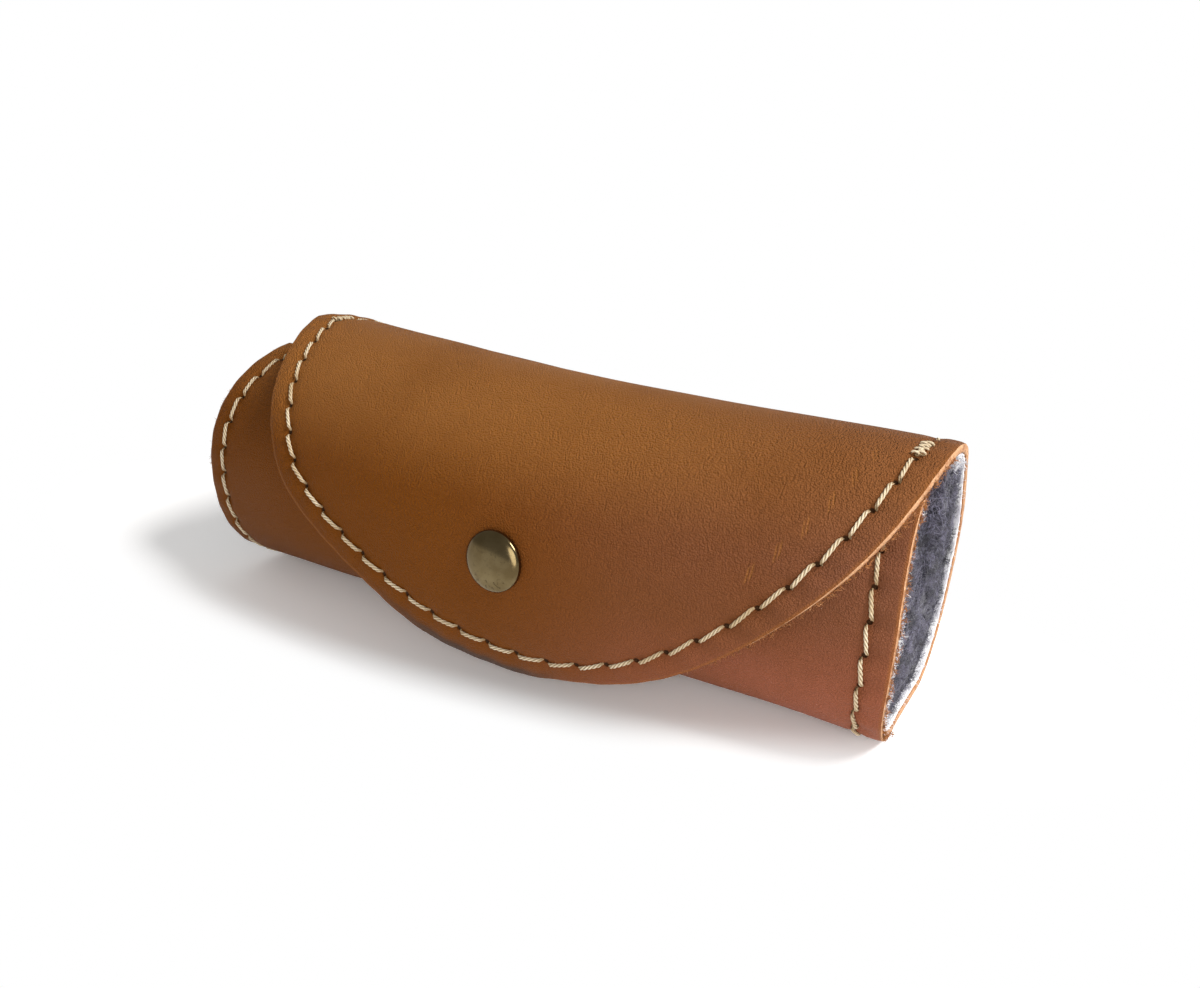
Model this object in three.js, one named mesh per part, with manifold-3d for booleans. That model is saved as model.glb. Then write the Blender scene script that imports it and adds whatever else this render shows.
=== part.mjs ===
// Shoe polishing glove, rolled up and snapped shut.
// One leather sheet runs from the front wall's straight end down the front, under the roll, up the back
// and over the top into a rounded flap. Sheepskin lines it as far as the flap's fold, with its wool inside.
// Millimetres, +Z up, +X along the roll to its open right end, -Y to the front, where the snap is.
import * as THREE from 'three';
import { mergeVertices } from 'three/addons/utils/BufferGeometryUtils.js';
import Module from 'manifold-3d';

const wasm = await Module();
wasm.setup();

// Roll, as sections of the leather's outer face at the left end, the middle and the right end
const HALF_LENGTH = 74;
const HALF_DEPTH = [33.5, 35.5, 24.5];
const HALF_HEIGHT = [29, 25.5, 28];
const AXIS_Y = [-1.3, 0, 3.7];
const SECTION_POWER = 2.4;
const RIGHT_END_LEAN = -13.5;
const WAIST_LIFT = 4.5;
const FOOT_DEPTH = 1.5;

// Outline of the sheet: the front wall is wider than the back, and the fold sits to the right
const FRONT_WIDER_LEFT = 11.5;
const WIDENING_FROM = [40, 185];
const WIDENING_BACK = [222, 275];
const FRONT_WIDER_RIGHT = 2.5;
const FOLD_SHIFT = 3.5;
const FOLD_SHIFT_START = 390;

// Angles round the roll in degrees: 90 top, 180 front, 270 bottom, 360 back, 450 top again
const FRONT_END = 110;
const FRONT_FOLD = 228;
const FLAP_FOLD = 462;
const FOLD_GAP = 1;
const LINING_SETBACK = 3;
const LINING_TOP = 455;
const ANGLE_STEP = 11;

// Flap: its rounded outline in the flat, width along X and length down from the top of the roll
const FLAP_RADIUS = 41.3;
const FLAP_CORNERS = [-70.5, 77.5];
const FLAP_LEFT_HANDLE = [7, 15];
const FLAP_SHOULDER = [-50.9, 52.4];
const SHOULDER_SLOPE = 0.95;
const SHOULDER_HANDLES = [23, 9.4];
const FLAP_TIP = [15.4, 80.8];
const FLAP_TIP_HANDLES = [28, 32.7];
const FLAP_RIGHT_HANDLE = 33.6;
const FOLD_MARGIN = 14;
const FLAP_STANDOFF = 8.5;
const STANDOFF_FROM = 410;
const STANDOFF_TO = 480;
const OUTLINE_STEPS = 30;
const FLAP_ROWS = 9;

// Layers, from the outer face inward
const LEATHER = 1.6;
const POCKET_GAP = 0.6;
const PELT = 1.0;
const GAP = 0.3;
const WOOL = 11;
const PELT_FACE = LEATHER + POCKET_GAP;
const WOOL_FACE = PELT_FACE + PELT + GAP;
const PELT_END = 0.4;
const WOOL_END = 1.5;

// Seams: thread laid in a groove that it pulls into the leather
const SEAM_INSET = 4.8;
const GROOVE_DEPTH = 1.6;
const GROOVE_HALF_WIDTH = 2.4;
const THREAD_HEIGHT = 1.06;
const STITCH_PITCH = 6.5;
const STITCH_RADII = [0.3, 0.48, 0.5, 0.48];
const THREAD_SIDES = 6;
const SEAM_CLEAR = 1;
const SEAM_CLEAR_TURN = 2;
const TACK_LENGTH = 4.2;
const TACK_TURNS = [453.5, 460];
const TACK_CLEAR_TURN = 11;
const TACK_HALF_WIDTH = 0.95;
const TACK_HALF_HEIGHT = 0.5;
const ACROSS = [18, 36, 56];

// Snap, on an axis square to the flap
const SNAP_X = 7;
const SNAP_ANGLE = 529.5;
const CAP_RADIUS = 6.25;
const CAP_HEIGHT = 2.9;
const CAP_WALL = 0.9;
const CAP_CHAMFER = [0.3, 0.35];
const CAP_DOME = [0.97, 0.85, 0.68, 0.45, 0.22];
const CAP_SEAT = 0.35;
const POST_RADIUS = 1.9;
const POST_HOLE = 2.3;
const POST_BELOW = 1.4;
const SOCKET_SEAT = 1.15;
const SOCKET_FLOOR = 0.8;
const SOCKET_RADIUS = 6;
const SOCKET_CHAMFER = [0.4, 0.5];
const SOCKET_MOUTH = 4.3;
const SOCKET_HEIGHT = 3.3;
const SPRING_GROOVE = [0.6, 1.7];
const SPRING_RADIUS = 4.75;
const SPRING_WIRE = 0.35;
const SPRING_SIDES = 6;
const STUD_BASE = 5.2;
const STUD_RIM = 0.5;
const STUD_CONE = [0.9, 1];
const STUD_NECK_FOOT = 1.5;
const STUD_HEAD = 2.6;
const STUD_HEAD_FOOT = [1.6, 0.9];
const STUD_HEAD_TOP = [0.4, 0.2];
const STUD_CROWN = 1;
const STUD_NECK = 2.1;
const STUD_ENTRY = 0.8;
const WASHER_RADIUS = 5;
const WASHER = 0.55;
const ROUND = 24;

const rad = THREE.MathUtils.degToRad;
const smooth = THREE.MathUtils.smoothstep;
const lerp = THREE.MathUtils.lerp;

// A value given at the left end, the middle and the right end, at x from -1 to 1
function along(x, [left, middle, right]) {
  return middle + (right - left) / 2 * x + ((right + left) / 2 - middle) * x * x;
}

function lean(x) {
  return RIGHT_END_LEAN * ((1 + x) / 2) ** 2;
}

function sectionRadius(x, angle) {
  const turned = rad(angle - lean(x));
  const across = Math.abs(Math.cos(turned)) / along(x, HALF_DEPTH);
  const up = Math.abs(Math.sin(turned)) / along(x, HALF_HEIGHT);
  return (across ** SECTION_POWER + up ** SECTION_POWER) ** (-1 / SECTION_POWER);
}

function axisZ(x) {
  const tilt = rad(lean(x));
  const reach = Math.hypot(along(x, HALF_HEIGHT) * Math.cos(tilt), along(x, HALF_DEPTH) * Math.sin(tilt));
  return reach + WAIST_LIFT * (1 - x * x) - FOOT_DEPTH;
}

function standoff(angle) {
  return FLAP_STANDOFF * smooth(angle, STANDOFF_FROM, STANDOFF_TO);
}

// A point of the sheet, so far in from the outer face. The roll's own weight flattens it on its foot.
function rollPoint(x, millimetresX, angle, inset) {
  const radius = sectionRadius(x, angle) + standoff(angle) - inset;
  const y = along(x, AXIS_Y) + radius * Math.cos(rad(angle));
  const z = axisZ(x) + radius * Math.sin(rad(angle));
  return new THREE.Vector3(millimetresX, y, Math.max(z, inset));
}

function bodyPoint(x, angle, inset) {
  const frontRight = angle < 270 ? Math.cos(rad(angle)) ** 2 : 0;
  const frontLeft = smooth(angle, ...WIDENING_FROM) * (1 - smooth(angle, ...WIDENING_BACK));
  const shift = FOLD_SHIFT * smooth(angle, FOLD_SHIFT_START, FLAP_FOLD);
  const left = shift - HALF_LENGTH - FRONT_WIDER_LEFT * frontLeft;
  const right = shift + HALF_LENGTH + FRONT_WIDER_RIGHT * frontRight;
  return rollPoint(x, lerp(left, right, (x + 1) / 2), angle, inset);
}

function flapPoint([flatX, flatDown], inset) {
  const angle = 450 + THREE.MathUtils.radToDeg(flatDown / FLAP_RADIUS);
  return rollPoint(flatX / HALF_LENGTH, flatX, angle, inset);
}

// Stations across the body, each a place along X and the groove's depth there
function acrossStations(endInset) {
  const half = [
    [endInset, 0],
    [SEAM_INSET - GROOVE_HALF_WIDTH, 0],
    [SEAM_INSET, GROOVE_DEPTH],
    [SEAM_INSET + GROOVE_HALF_WIDTH, 0],
    ...ACROSS.map((distance) => [distance, 0]),
  ];
  const left = half.map(([distance, dip]) => ({ x: distance / HALF_LENGTH - 1, dip }));
  const right = half.map(([distance, dip]) => ({ x: 1 - distance / HALF_LENGTH, dip }));
  return [...left, { x: 0, dip: 0 }, ...right.reverse()];
}

function steps(from, to, step) {
  const count = Math.ceil((to - from) / step);
  return Array.from({ length: count + 1 }, (_, i) => lerp(from, to, i / count));
}

function geometryFrom(points, triangles) {
  const geometry = new THREE.BufferGeometry();
  geometry.setAttribute('position', new THREE.Float32BufferAttribute(points.flatMap((p) => p.toArray()), 3));
  let volume = 0;
  for (const [a, b, c] of triangles) {
    volume += points[a].dot(new THREE.Vector3().crossVectors(points[b], points[c]));
  }
  geometry.setIndex(triangles.flatMap(([a, b, c]) => (volume > 0 ? [a, b, c] : [a, c, b])));
  geometry.computeVertexNormals();
  return geometry;
}

// A closed sheet between a grid of outer points and the same grid of inner points
function sheetSolid(outerGrid, innerGrid) {
  const rows = outerGrid.length;
  const columns = outerGrid[0].length;
  const points = [...outerGrid.flat(), ...innerGrid.flat()];
  const outer = (i, j) => i * columns + j;
  const inner = (i, j) => rows * columns + outer(i, j);
  const triangles = [];
  const quad = (a, b, c, d) => triangles.push([a, b, c], [a, c, d]);
  for (let i = 0; i < rows - 1; i++) {
    for (let j = 0; j < columns - 1; j++) {
      quad(outer(i, j), outer(i, j + 1), outer(i + 1, j + 1), outer(i + 1, j));
      quad(inner(i, j), inner(i + 1, j), inner(i + 1, j + 1), inner(i, j + 1));
    }
  }
  for (let j = 0; j < columns - 1; j++) {
    quad(outer(0, j), inner(0, j), inner(0, j + 1), outer(0, j + 1));
    quad(outer(rows - 1, j), outer(rows - 1, j + 1), inner(rows - 1, j + 1), inner(rows - 1, j));
  }
  for (let i = 0; i < rows - 1; i++) {
    quad(outer(i, 0), outer(i + 1, 0), inner(i + 1, 0), inner(i, 0));
    quad(outer(i, columns - 1), inner(i, columns - 1), inner(i + 1, columns - 1), outer(i + 1, columns - 1));
  }
  return geometryFrom(points, triangles);
}

// A closed tube through rings of equal size
function tubeSolid(rings) {
  const sides = rings[0].length;
  const points = rings.flat();
  const triangles = [];
  for (let i = 0; i < rings.length - 1; i++) {
    for (let k = 0; k < sides; k++) {
      const a = i * sides + k;
      const b = i * sides + (k + 1) % sides;
      triangles.push([a, b, b + sides], [a, b + sides, a + sides]);
    }
  }
  const last = (rings.length - 1) * sides;
  for (let k = 1; k < sides - 1; k++) {
    triangles.push([0, k + 1, k], [last, last + k, last + k + 1]);
  }
  return geometryFrom(points, triangles);
}

function toManifold(geometry) {
  const bare = geometry.clone();
  bare.deleteAttribute('normal');
  bare.deleteAttribute('uv');
  const merged = mergeVertices(bare, 1e-4);
  return new wasm.Manifold(new wasm.Mesh({
    numProp: 3,
    vertProperties: Float32Array.from(merged.attributes.position.array),
    triVerts: Uint32Array.from(merged.index.array),
  }));
}

function cutAway(geometry, tools) {
  const solid = tools.reduce((body, tool) => body.subtract(toManifold(tool)), toManifold(geometry));
  const mesh = solid.getMesh();
  const result = new THREE.BufferGeometry();
  result.setAttribute('position', new THREE.Float32BufferAttribute(mesh.vertProperties, 3));
  result.setIndex(Array.from(mesh.triVerts));
  result.computeVertexNormals();
  return result;
}

// Body sheets: leather, pelt and wool between two angles
function bodySheet(from, to, face, thickness, endInset, innerFollowsGroove = true) {
  const stations = acrossStations(endInset);
  const angles = steps(from, to, ANGLE_STEP);
  const grid = (inset, groove) => angles.map(
    (angle) => stations.map(({ x, dip }) => bodyPoint(x, angle, inset + groove * dip)),
  );
  return sheetSolid(grid(face, 1), grid(face + thickness, innerFollowsGroove ? 1 : 0));
}

// Flap outline in the flat, from the left corner by the left shoulder and the tip to the right corner
function flapOutline() {
  const fold = rad(FLAP_FOLD + FOLD_GAP / 2 - 450) * FLAP_RADIUS;
  const at = ([x, down]) => new THREE.Vector2(x, down);
  const [left, right] = FLAP_CORNERS.map((x) => at([x, fold]));
  const shoulder = at(FLAP_SHOULDER);
  const slope = at([Math.cos(SHOULDER_SLOPE), Math.sin(SHOULDER_SLOPE)]);
  const above = shoulder.clone().addScaledVector(slope, -SHOULDER_HANDLES[0]);
  const below = shoulder.clone().addScaledVector(slope, SHOULDER_HANDLES[1]);
  const tip = at(FLAP_TIP);
  const tipLeft = tip.clone().sub(at([FLAP_TIP_HANDLES[0], 0]));
  const tipRight = tip.clone().add(at([FLAP_TIP_HANDLES[1], 0]));
  const leftHandle = left.clone().add(at(FLAP_LEFT_HANDLE));
  const rightHandle = right.clone().add(at([0, FLAP_RIGHT_HANDLE]));
  const path = new THREE.CurvePath();
  path.add(new THREE.CubicBezierCurve(left, leftHandle, above, shoulder));
  path.add(new THREE.CubicBezierCurve(shoulder, below, tipLeft, tip));
  path.add(new THREE.CubicBezierCurve(tip, tipRight, rightHandle, right));
  return path;
}

// At both corners the margin runs square to the fold
function insetOutline(distance) {
  const path = flapOutline();
  return Array.from({ length: OUTLINE_STEPS + 1 }, (_, i) => {
    const place = path.getPointAt(i / OUTLINE_STEPS);
    const tangent = path.getTangentAt(i / OUTLINE_STEPS);
    if (i === 0 || i === OUTLINE_STEPS) {
      tangent.set(0, i === 0 ? 1 : -1);
    }
    return [place.x + tangent.y * distance, place.y - tangent.x * distance];
  });
}

function flapGrid(inset) {
  const rings = [
    [0, 0],
    [SEAM_INSET - GROOVE_HALF_WIDTH, 0],
    [SEAM_INSET, GROOVE_DEPTH],
    [SEAM_INSET + GROOVE_HALF_WIDTH, 0],
  ];
  const innermost = insetOutline(SEAM_INSET + GROOVE_HALF_WIDTH);
  const grid = rings.map(
    ([distance, dip]) => insetOutline(distance).map((place) => flapPoint(place, inset + dip)),
  );
  const [left, right] = [FLAP_CORNERS[0] + FOLD_MARGIN, FLAP_CORNERS[1] - FOLD_MARGIN];
  const foldDown = innermost[0][1];
  for (let row = 1; row <= FLAP_ROWS; row++) {
    const share = row / FLAP_ROWS;
    grid.push(innermost.map(([x, down], i) => flapPoint([
      lerp(x, lerp(left, right, i / OUTLINE_STEPS), share),
      lerp(down, foldDown, share),
    ], inset)));
  }
  return grid;
}

// Thread along a line of places on the groove's floor, thick in each stitch and thin at each hole
function threadAlong(places, halfWidths, halfHeights) {
  const rings = places.map((place, i) => {
    const before = places[Math.max(i - 1, 0)];
    const after = places[Math.min(i + 1, places.length - 1)];
    const tangent = new THREE.Vector3().subVectors(after.floor, before.floor).normalize();
    const side = new THREE.Vector3().crossVectors(place.out, tangent).normalize();
    const up = new THREE.Vector3().crossVectors(tangent, side);
    const centre = place.floor.clone().addScaledVector(up, THREAD_HEIGHT);
    return Array.from({ length: THREAD_SIDES }, (_, k) => {
      const turn = 2 * Math.PI * k / THREAD_SIDES;
      return centre.clone()
        .addScaledVector(side, halfWidths[i % halfWidths.length] * Math.cos(turn))
        .addScaledVector(up, halfHeights[i % halfHeights.length] * Math.sin(turn));
    });
  });
  return tubeSolid(rings);
}

// Evenly spaced places along a curve on the roll, each with its way out from the roll's axis
function evenPlaces(points, spacing) {
  const curve = new THREE.CatmullRomCurve3(points);
  const count = Math.round(curve.getLength() / spacing);
  return curve.getSpacedPoints(count).map((floor) => {
    const x = THREE.MathUtils.clamp(floor.x / HALF_LENGTH, -1, 1);
    return { floor, out: new THREE.Vector3(0, floor.y - along(x, AXIS_Y), floor.z - axisZ(x)) };
  });
}

function seamThread(points) {
  return threadAlong(evenPlaces(points, STITCH_PITCH / STITCH_RADII.length), STITCH_RADII, STITCH_RADII);
}

function sideSeamPoints(end, from, to) {
  const x = end * (1 - SEAM_INSET / HALF_LENGTH);
  return steps(from, to, ANGLE_STEP / 2).map((angle) => bodyPoint(x, angle, GROOVE_DEPTH));
}

// The flap's seam, whose right end is doubled into a bar tack
function flapSeamPoints() {
  const line = insetOutline(SEAM_INSET).map((place) => flapPoint(place, GROOVE_DEPTH));
  const curve = new THREE.CatmullRomCurve3(line);
  const total = curve.getLength();
  const stretch = (from, to, count) => Array.from(
    { length: count + 1 },
    (_, i) => curve.getPointAt(lerp(from, to, i / count) / total),
  );
  const tackEnd = total - SEAM_CLEAR;
  const tackStart = tackEnd - TACK_LENGTH;
  return {
    seam: stretch(SEAM_CLEAR, tackStart - SEAM_CLEAR, 3 * OUTLINE_STEPS),
    rightTack: stretch(tackStart, tackEnd, 4),
  };
}

function barTack(points) {
  const places = evenPlaces(points, TACK_LENGTH / 4);
  return threadAlong(places, [TACK_HALF_WIDTH], [TACK_HALF_HEIGHT]);
}

// Snap pieces, turned about the snap's axis. Heights run up from the flap's outer face.
const frontFace = -FLAP_STANDOFF;
const socketTop = -LEATHER - SOCKET_SEAT;
const socketFoot = socketTop - SOCKET_HEIGHT;

function turned(profile) {
  return new THREE.LatheGeometry(profile.map(([r, h]) => new THREE.Vector2(r, h)), ROUND);
}

function snapCap() {
  const wallTop = CAP_SEAT + CAP_WALL;
  const rise = CAP_HEIGHT - CAP_WALL;
  const dome = CAP_DOME.map((share) => [CAP_RADIUS * share, wallTop + rise * Math.sqrt(1 - share * share)]);
  const postFoot = socketTop - POST_BELOW;
  return turned([
    [0, postFoot],
    [POST_RADIUS, postFoot],
    [POST_RADIUS, CAP_SEAT],
    [CAP_RADIUS - CAP_CHAMFER[0], CAP_SEAT],
    [CAP_RADIUS, CAP_SEAT + CAP_CHAMFER[1]],
    ...dome,
    [0, CAP_SEAT + CAP_HEIGHT],
  ]);
}

function snapSocket() {
  const floor = socketTop - SOCKET_FLOOR;
  const groove = SPRING_RADIUS + SPRING_WIRE + GAP;
  const [lip, grooveTop] = SPRING_GROOVE.map((height) => socketFoot + height);
  return turned([
    [POST_HOLE, socketTop],
    [POST_HOLE, floor],
    [SOCKET_MOUTH, floor],
    [SOCKET_MOUTH, grooveTop],
    [groove, grooveTop],
    [groove, lip],
    [SOCKET_MOUTH, lip],
    [SOCKET_MOUTH, socketFoot],
    [SOCKET_RADIUS - SOCKET_CHAMFER[0], socketFoot],
    [SOCKET_RADIUS, socketFoot + SOCKET_CHAMFER[1]],
    [SOCKET_RADIUS, socketTop],
    [POST_HOLE, socketTop],
  ]);
}

function snapSpring() {
  const ring = new THREE.TorusGeometry(SPRING_RADIUS, SPRING_WIRE, SPRING_SIDES, ROUND);
  ring.rotateX(Math.PI / 2);
  ring.translate(0, socketFoot + (SPRING_GROOVE[0] + SPRING_GROOVE[1]) / 2, 0);
  return ring;
}

function snapStud() {
  const top = socketFoot + STUD_ENTRY;
  const base = frontFace + GAP;
  return turned([
    [0, base],
    [STUD_BASE, base],
    [STUD_BASE, base + STUD_RIM],
    [STUD_NECK + STUD_CONE[0], base + STUD_CONE[1]],
    [STUD_NECK, base + STUD_NECK_FOOT],
    [STUD_NECK, top - STUD_HEAD_FOOT[0]],
    [STUD_HEAD, top - STUD_HEAD_FOOT[1]],
    [STUD_HEAD - STUD_HEAD_TOP[0], top - STUD_HEAD_TOP[1]],
    [STUD_HEAD - STUD_CROWN, top],
    [0, top],
  ]);
}

// The post behind the front wall: its shank stands in the leather's hole and its washer lies in a recess
function snapPost() {
  const washerFoot = frontFace - LEATHER;
  const shankTop = frontFace;
  return turned([
    [0, washerFoot],
    [WASHER_RADIUS, washerFoot],
    [WASHER_RADIUS, washerFoot + WASHER],
    [POST_RADIUS, washerFoot + WASHER],
    [POST_RADIUS, shankTop],
    [0, shankTop],
  ]);
}

function axialCut(placing, radius, from, to) {
  const tool = new THREE.CylinderGeometry(radius, radius, to - from, ROUND);
  tool.translate(0, (from + to) / 2, 0);
  return tool.applyMatrix4(placing);
}

function snapPlacing() {
  const down = rad(SNAP_ANGLE - 450) * FLAP_RADIUS;
  const centre = flapPoint([SNAP_X, down], 0);
  const aside = flapPoint([SNAP_X + 1, down], 0).sub(centre);
  const below = flapPoint([SNAP_X, down + 1], 0).sub(centre);
  const normal = new THREE.Vector3().crossVectors(below, aside).normalize();
  if (normal.y > 0) {
    normal.negate();
  }
  const turn = new THREE.Quaternion().setFromUnitVectors(new THREE.Vector3(0, 1, 0), normal);
  return new THREE.Matrix4().compose(centre, turn, new THREE.Vector3(1, 1, 1));
}

// Materials and assembly
const finishes = {
  leather: { color: 0x8a5428, roughness: 0.55, metalness: 0 },
  pelt: { color: 0xe4dfd4, roughness: 0.95, metalness: 0 },
  wool: { color: 0x6c6c79, roughness: 1, metalness: 0 },
  thread: { color: 0xded0b0, roughness: 0.8, metalness: 0 },
  brass: { color: 0x75623f, roughness: 0.35, metalness: 1 },
};

function piece(name, geometry, finish) {
  const mesh = new THREE.Mesh(geometry, new THREE.MeshStandardMaterial(finishes[finish]));
  mesh.name = name;
  return mesh;
}

const flapStart = FLAP_FOLD - FOLD_GAP / 2;
const frontEnd = FRONT_FOLD - FOLD_GAP / 2;
const backStart = FRONT_FOLD + FOLD_GAP / 2;
const liningStart = FRONT_END + LINING_SETBACK;
const snapAt = snapPlacing();
const flapSeam = flapSeamPoints();
const [tackFrom, tackTo] = TACK_TURNS;

const flapLeather = cutAway(
  sheetSolid(flapGrid(0), flapGrid(LEATHER)),
  [axialCut(snapAt, POST_HOLE, -2 * LEATHER, LEATHER)],
);
const frontLeather = cutAway(
  bodySheet(FRONT_END, frontEnd, 0, LEATHER, 0),
  [
    axialCut(snapAt, POST_HOLE, frontFace - 2 * LEATHER, frontFace + LEATHER),
    axialCut(snapAt, WASHER_RADIUS + GAP, frontFace - 2 * LEATHER, frontFace - LEATHER + WASHER + GAP),
  ],
);

const roll = new THREE.Group();
roll.add(
  piece('back_leather', bodySheet(backStart, flapStart, 0, LEATHER, 0), 'leather'),
  piece('front_leather', frontLeather, 'leather'),
  piece('flap_leather', flapLeather, 'leather'),
  piece('back_pelt', bodySheet(backStart, LINING_TOP, PELT_FACE, PELT, PELT_END), 'pelt'),
  piece('front_pelt', bodySheet(liningStart, frontEnd, PELT_FACE, PELT, PELT_END), 'pelt'),
  piece('back_wool', bodySheet(backStart, LINING_TOP, WOOL_FACE, WOOL, WOOL_END, false), 'wool'),
  piece('front_wool', bodySheet(liningStart, frontEnd, WOOL_FACE, WOOL, WOOL_END, false), 'wool'),
  piece('flap_stitching', seamThread(flapSeam.seam), 'thread'),
  piece('bar_tack_left', barTack(sideSeamPoints(-1, tackFrom, tackTo)), 'thread'),
  piece('bar_tack_right', barTack(flapSeam.rightTack), 'thread'),
);
for (const [side, end] of [['left', -1], ['right', 1]]) {
  const topClear = end < 0 ? TACK_CLEAR_TURN : SEAM_CLEAR_TURN;
  const back = sideSeamPoints(end, backStart + SEAM_CLEAR_TURN, flapStart - topClear);
  const front = sideSeamPoints(end, FRONT_END + SEAM_CLEAR_TURN, frontEnd - SEAM_CLEAR_TURN);
  roll.add(
    piece(`back_stitching_${side}`, seamThread(back), 'thread'),
    piece(`front_stitching_${side}`, seamThread(front), 'thread'),
  );
}

const snap = new THREE.Group();
snap.applyMatrix4(snapAt);
snap.add(
  piece('snap_cap', snapCap(), 'brass'),
  piece('snap_socket', snapSocket(), 'brass'),
  piece('snap_spring', snapSpring(), 'brass'),
  piece('snap_stud', snapStud(), 'brass'),
  piece('snap_post', snapPost(), 'brass'),
);
roll.add(snap);

// The origin is under the middle of the roll's box
const box = new THREE.Box3().setFromObject(roll, true);
const middle = box.getCenter(new THREE.Vector3());
roll.position.set(-middle.x, -middle.y, -box.min.z);

export default roll;
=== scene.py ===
import math

import bmesh
import bpy
import numpy as np
from mathutils import Matrix, Vector, noise


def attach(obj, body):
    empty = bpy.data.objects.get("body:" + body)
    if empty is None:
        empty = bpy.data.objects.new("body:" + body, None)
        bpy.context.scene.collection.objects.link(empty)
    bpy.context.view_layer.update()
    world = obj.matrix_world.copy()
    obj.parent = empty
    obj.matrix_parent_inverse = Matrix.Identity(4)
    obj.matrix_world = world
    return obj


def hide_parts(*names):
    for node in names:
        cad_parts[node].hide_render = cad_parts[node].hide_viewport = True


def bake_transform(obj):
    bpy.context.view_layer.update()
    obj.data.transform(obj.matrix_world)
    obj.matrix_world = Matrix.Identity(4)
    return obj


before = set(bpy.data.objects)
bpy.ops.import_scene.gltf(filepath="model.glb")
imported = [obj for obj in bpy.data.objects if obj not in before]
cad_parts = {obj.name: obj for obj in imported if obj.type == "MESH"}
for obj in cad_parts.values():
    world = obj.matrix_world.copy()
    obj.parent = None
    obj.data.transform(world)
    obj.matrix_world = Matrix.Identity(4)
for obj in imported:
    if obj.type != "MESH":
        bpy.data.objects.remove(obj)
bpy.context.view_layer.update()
scene = bpy.context.scene
scene.view_settings.view_transform = "Standard"
print("frame loaded:", len(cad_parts), "solids")


def addObject(name, data):
    piece = bpy.data.objects.new(name, data)
    scene.collection.objects.link(piece)
    return piece


# Camera, from the photograph's viewing angle
cameraView = {
    "place": (0.1191, -0.1691, 0.1312),  # metres
    "turn": 32.84,  # degrees from the front towards the open right end
    "tilt": 25.6,  # degrees looking down
    "lens": 31.14,
    "film": 36,  # mm wide
    "nearest": 0.01,
}


def addCamera(view):
    turn, tilt = math.radians(view["turn"]), math.radians(view["tilt"])
    right = Vector((math.cos(turn), math.sin(turn), 0))
    back = Vector((math.sin(turn) * math.cos(tilt), -math.cos(turn) * math.cos(tilt), math.sin(tilt)))
    data = bpy.data.cameras.new("photoCamera")
    data.lens = view["lens"]
    data.sensor_width = view["film"]
    data.sensor_fit = "HORIZONTAL"
    data.clip_start = view["nearest"]
    camera = addObject("photoCamera", data)
    camera.matrix_world = Matrix((right, back.cross(right), back)).transposed().to_4x4()
    camera.location = view["place"]
    scene.camera = camera


addCamera(cameraView)


# Node helpers, for shaders and for geometry. A value is a plain one or another node's socket.
def isSocket(value):
    return isinstance(value, bpy.types.NodeSocket)


def feed(socket, value):
    if isSocket(value):
        socket.id_data.links.new(value, socket)
    else:
        socket.default_value = value


def put(tree, kind, inputs=None, **settings):
    node = tree.nodes.new(kind)
    for name, value in settings.items():
        setattr(node, name, value)
    for name, value in (inputs or {}).items():
        feed(node.inputs[name], value)
    return node


def calc(operation, *values):
    tree = next(v.id_data for v in values if isSocket(v))
    return put(tree, "ShaderNodeMath", dict(enumerate(values)), operation=operation).outputs[0]


def times(product, *values):
    for value in values:
        product = calc("MULTIPLY", product, value)
    return product


def scaled(value, factor, start):
    return calc("MULTIPLY_ADD", value, factor, start)


def hypotenuse(first, second):
    return calc("SQRT", calc("ADD", calc("POWER", first, 2.0), calc("POWER", second, 2.0)))


def vectorCalc(operation, first, second):
    inputs = {0: first, "Scale" if operation == "SCALE" else 1: second}
    return put(first.id_data, "ShaderNodeVectorMath", inputs, operation=operation).outputs[0]


def split(vector):
    return put(vector.id_data, "ShaderNodeSeparateXYZ", {0: vector}).outputs


def mixed(share, first, second):
    return put(share.id_data, "ShaderNodeMix", {0: share, 6: first, 7: second}, data_type="RGBA").outputs[2]


def layered(colour, *layers):
    for share, shade in layers:
        colour = mixed(share, colour, shade)
    return colour


def eased(value, low, high):
    inputs = {"Value": value, "From Min": low, "From Max": high}
    node = put(value.id_data, "ShaderNodeMapRange", inputs, interpolation_type="SMOOTHSTEP")
    return node.outputs["Result"]


def noiseAt(place, scale, detail):
    inputs = {"Vector": place, "Scale": scale, "Detail": detail}
    return put(place.id_data, "ShaderNodeTexNoise", inputs).outputs


def objectPlace(tree):
    return put(tree, "ShaderNodeTexCoord").outputs["Object"]


def attribute(tree, name):
    return put(tree, "ShaderNodeAttribute", attribute_name=name).outputs["Fac"]


# An input is given by its kind, or by a number that it starts with
def newGroup(name, treeKind, inputs, outputs):
    group = bpy.data.node_groups.new(name, treeKind)
    for label, value in inputs.items():
        kind = value if isinstance(value, str) else type(value).__name__.capitalize()
        socket = group.interface.new_socket(label, in_out="INPUT", socket_type="NodeSocket" + kind)
        if kind != value:
            socket.default_value = value
    for label, kind in outputs.items():
        group.interface.new_socket(label, in_out="OUTPUT", socket_type="NodeSocket" + kind)
    return group, put(group, "NodeGroupInput").outputs, put(group, "NodeGroupOutput").inputs


def groupIn(tree, group, inputs):
    inputs = {"Place": objectPlace(tree), **inputs}
    return put(tree, "ShaderNodeGroup", inputs, node_tree=group).outputs


# Shades are given as a screen shows them
def paint(levels):
    shares = [level / 255 for level in levels]
    linear = [c / 12.92 if c <= 0.04045 else ((c + 0.055) / 1.055) ** 2.4 for c in shares]
    return (*linear, 1.0)


def paints(shades):
    return {name: paint(levels) for name, levels in shades.items()}


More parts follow.
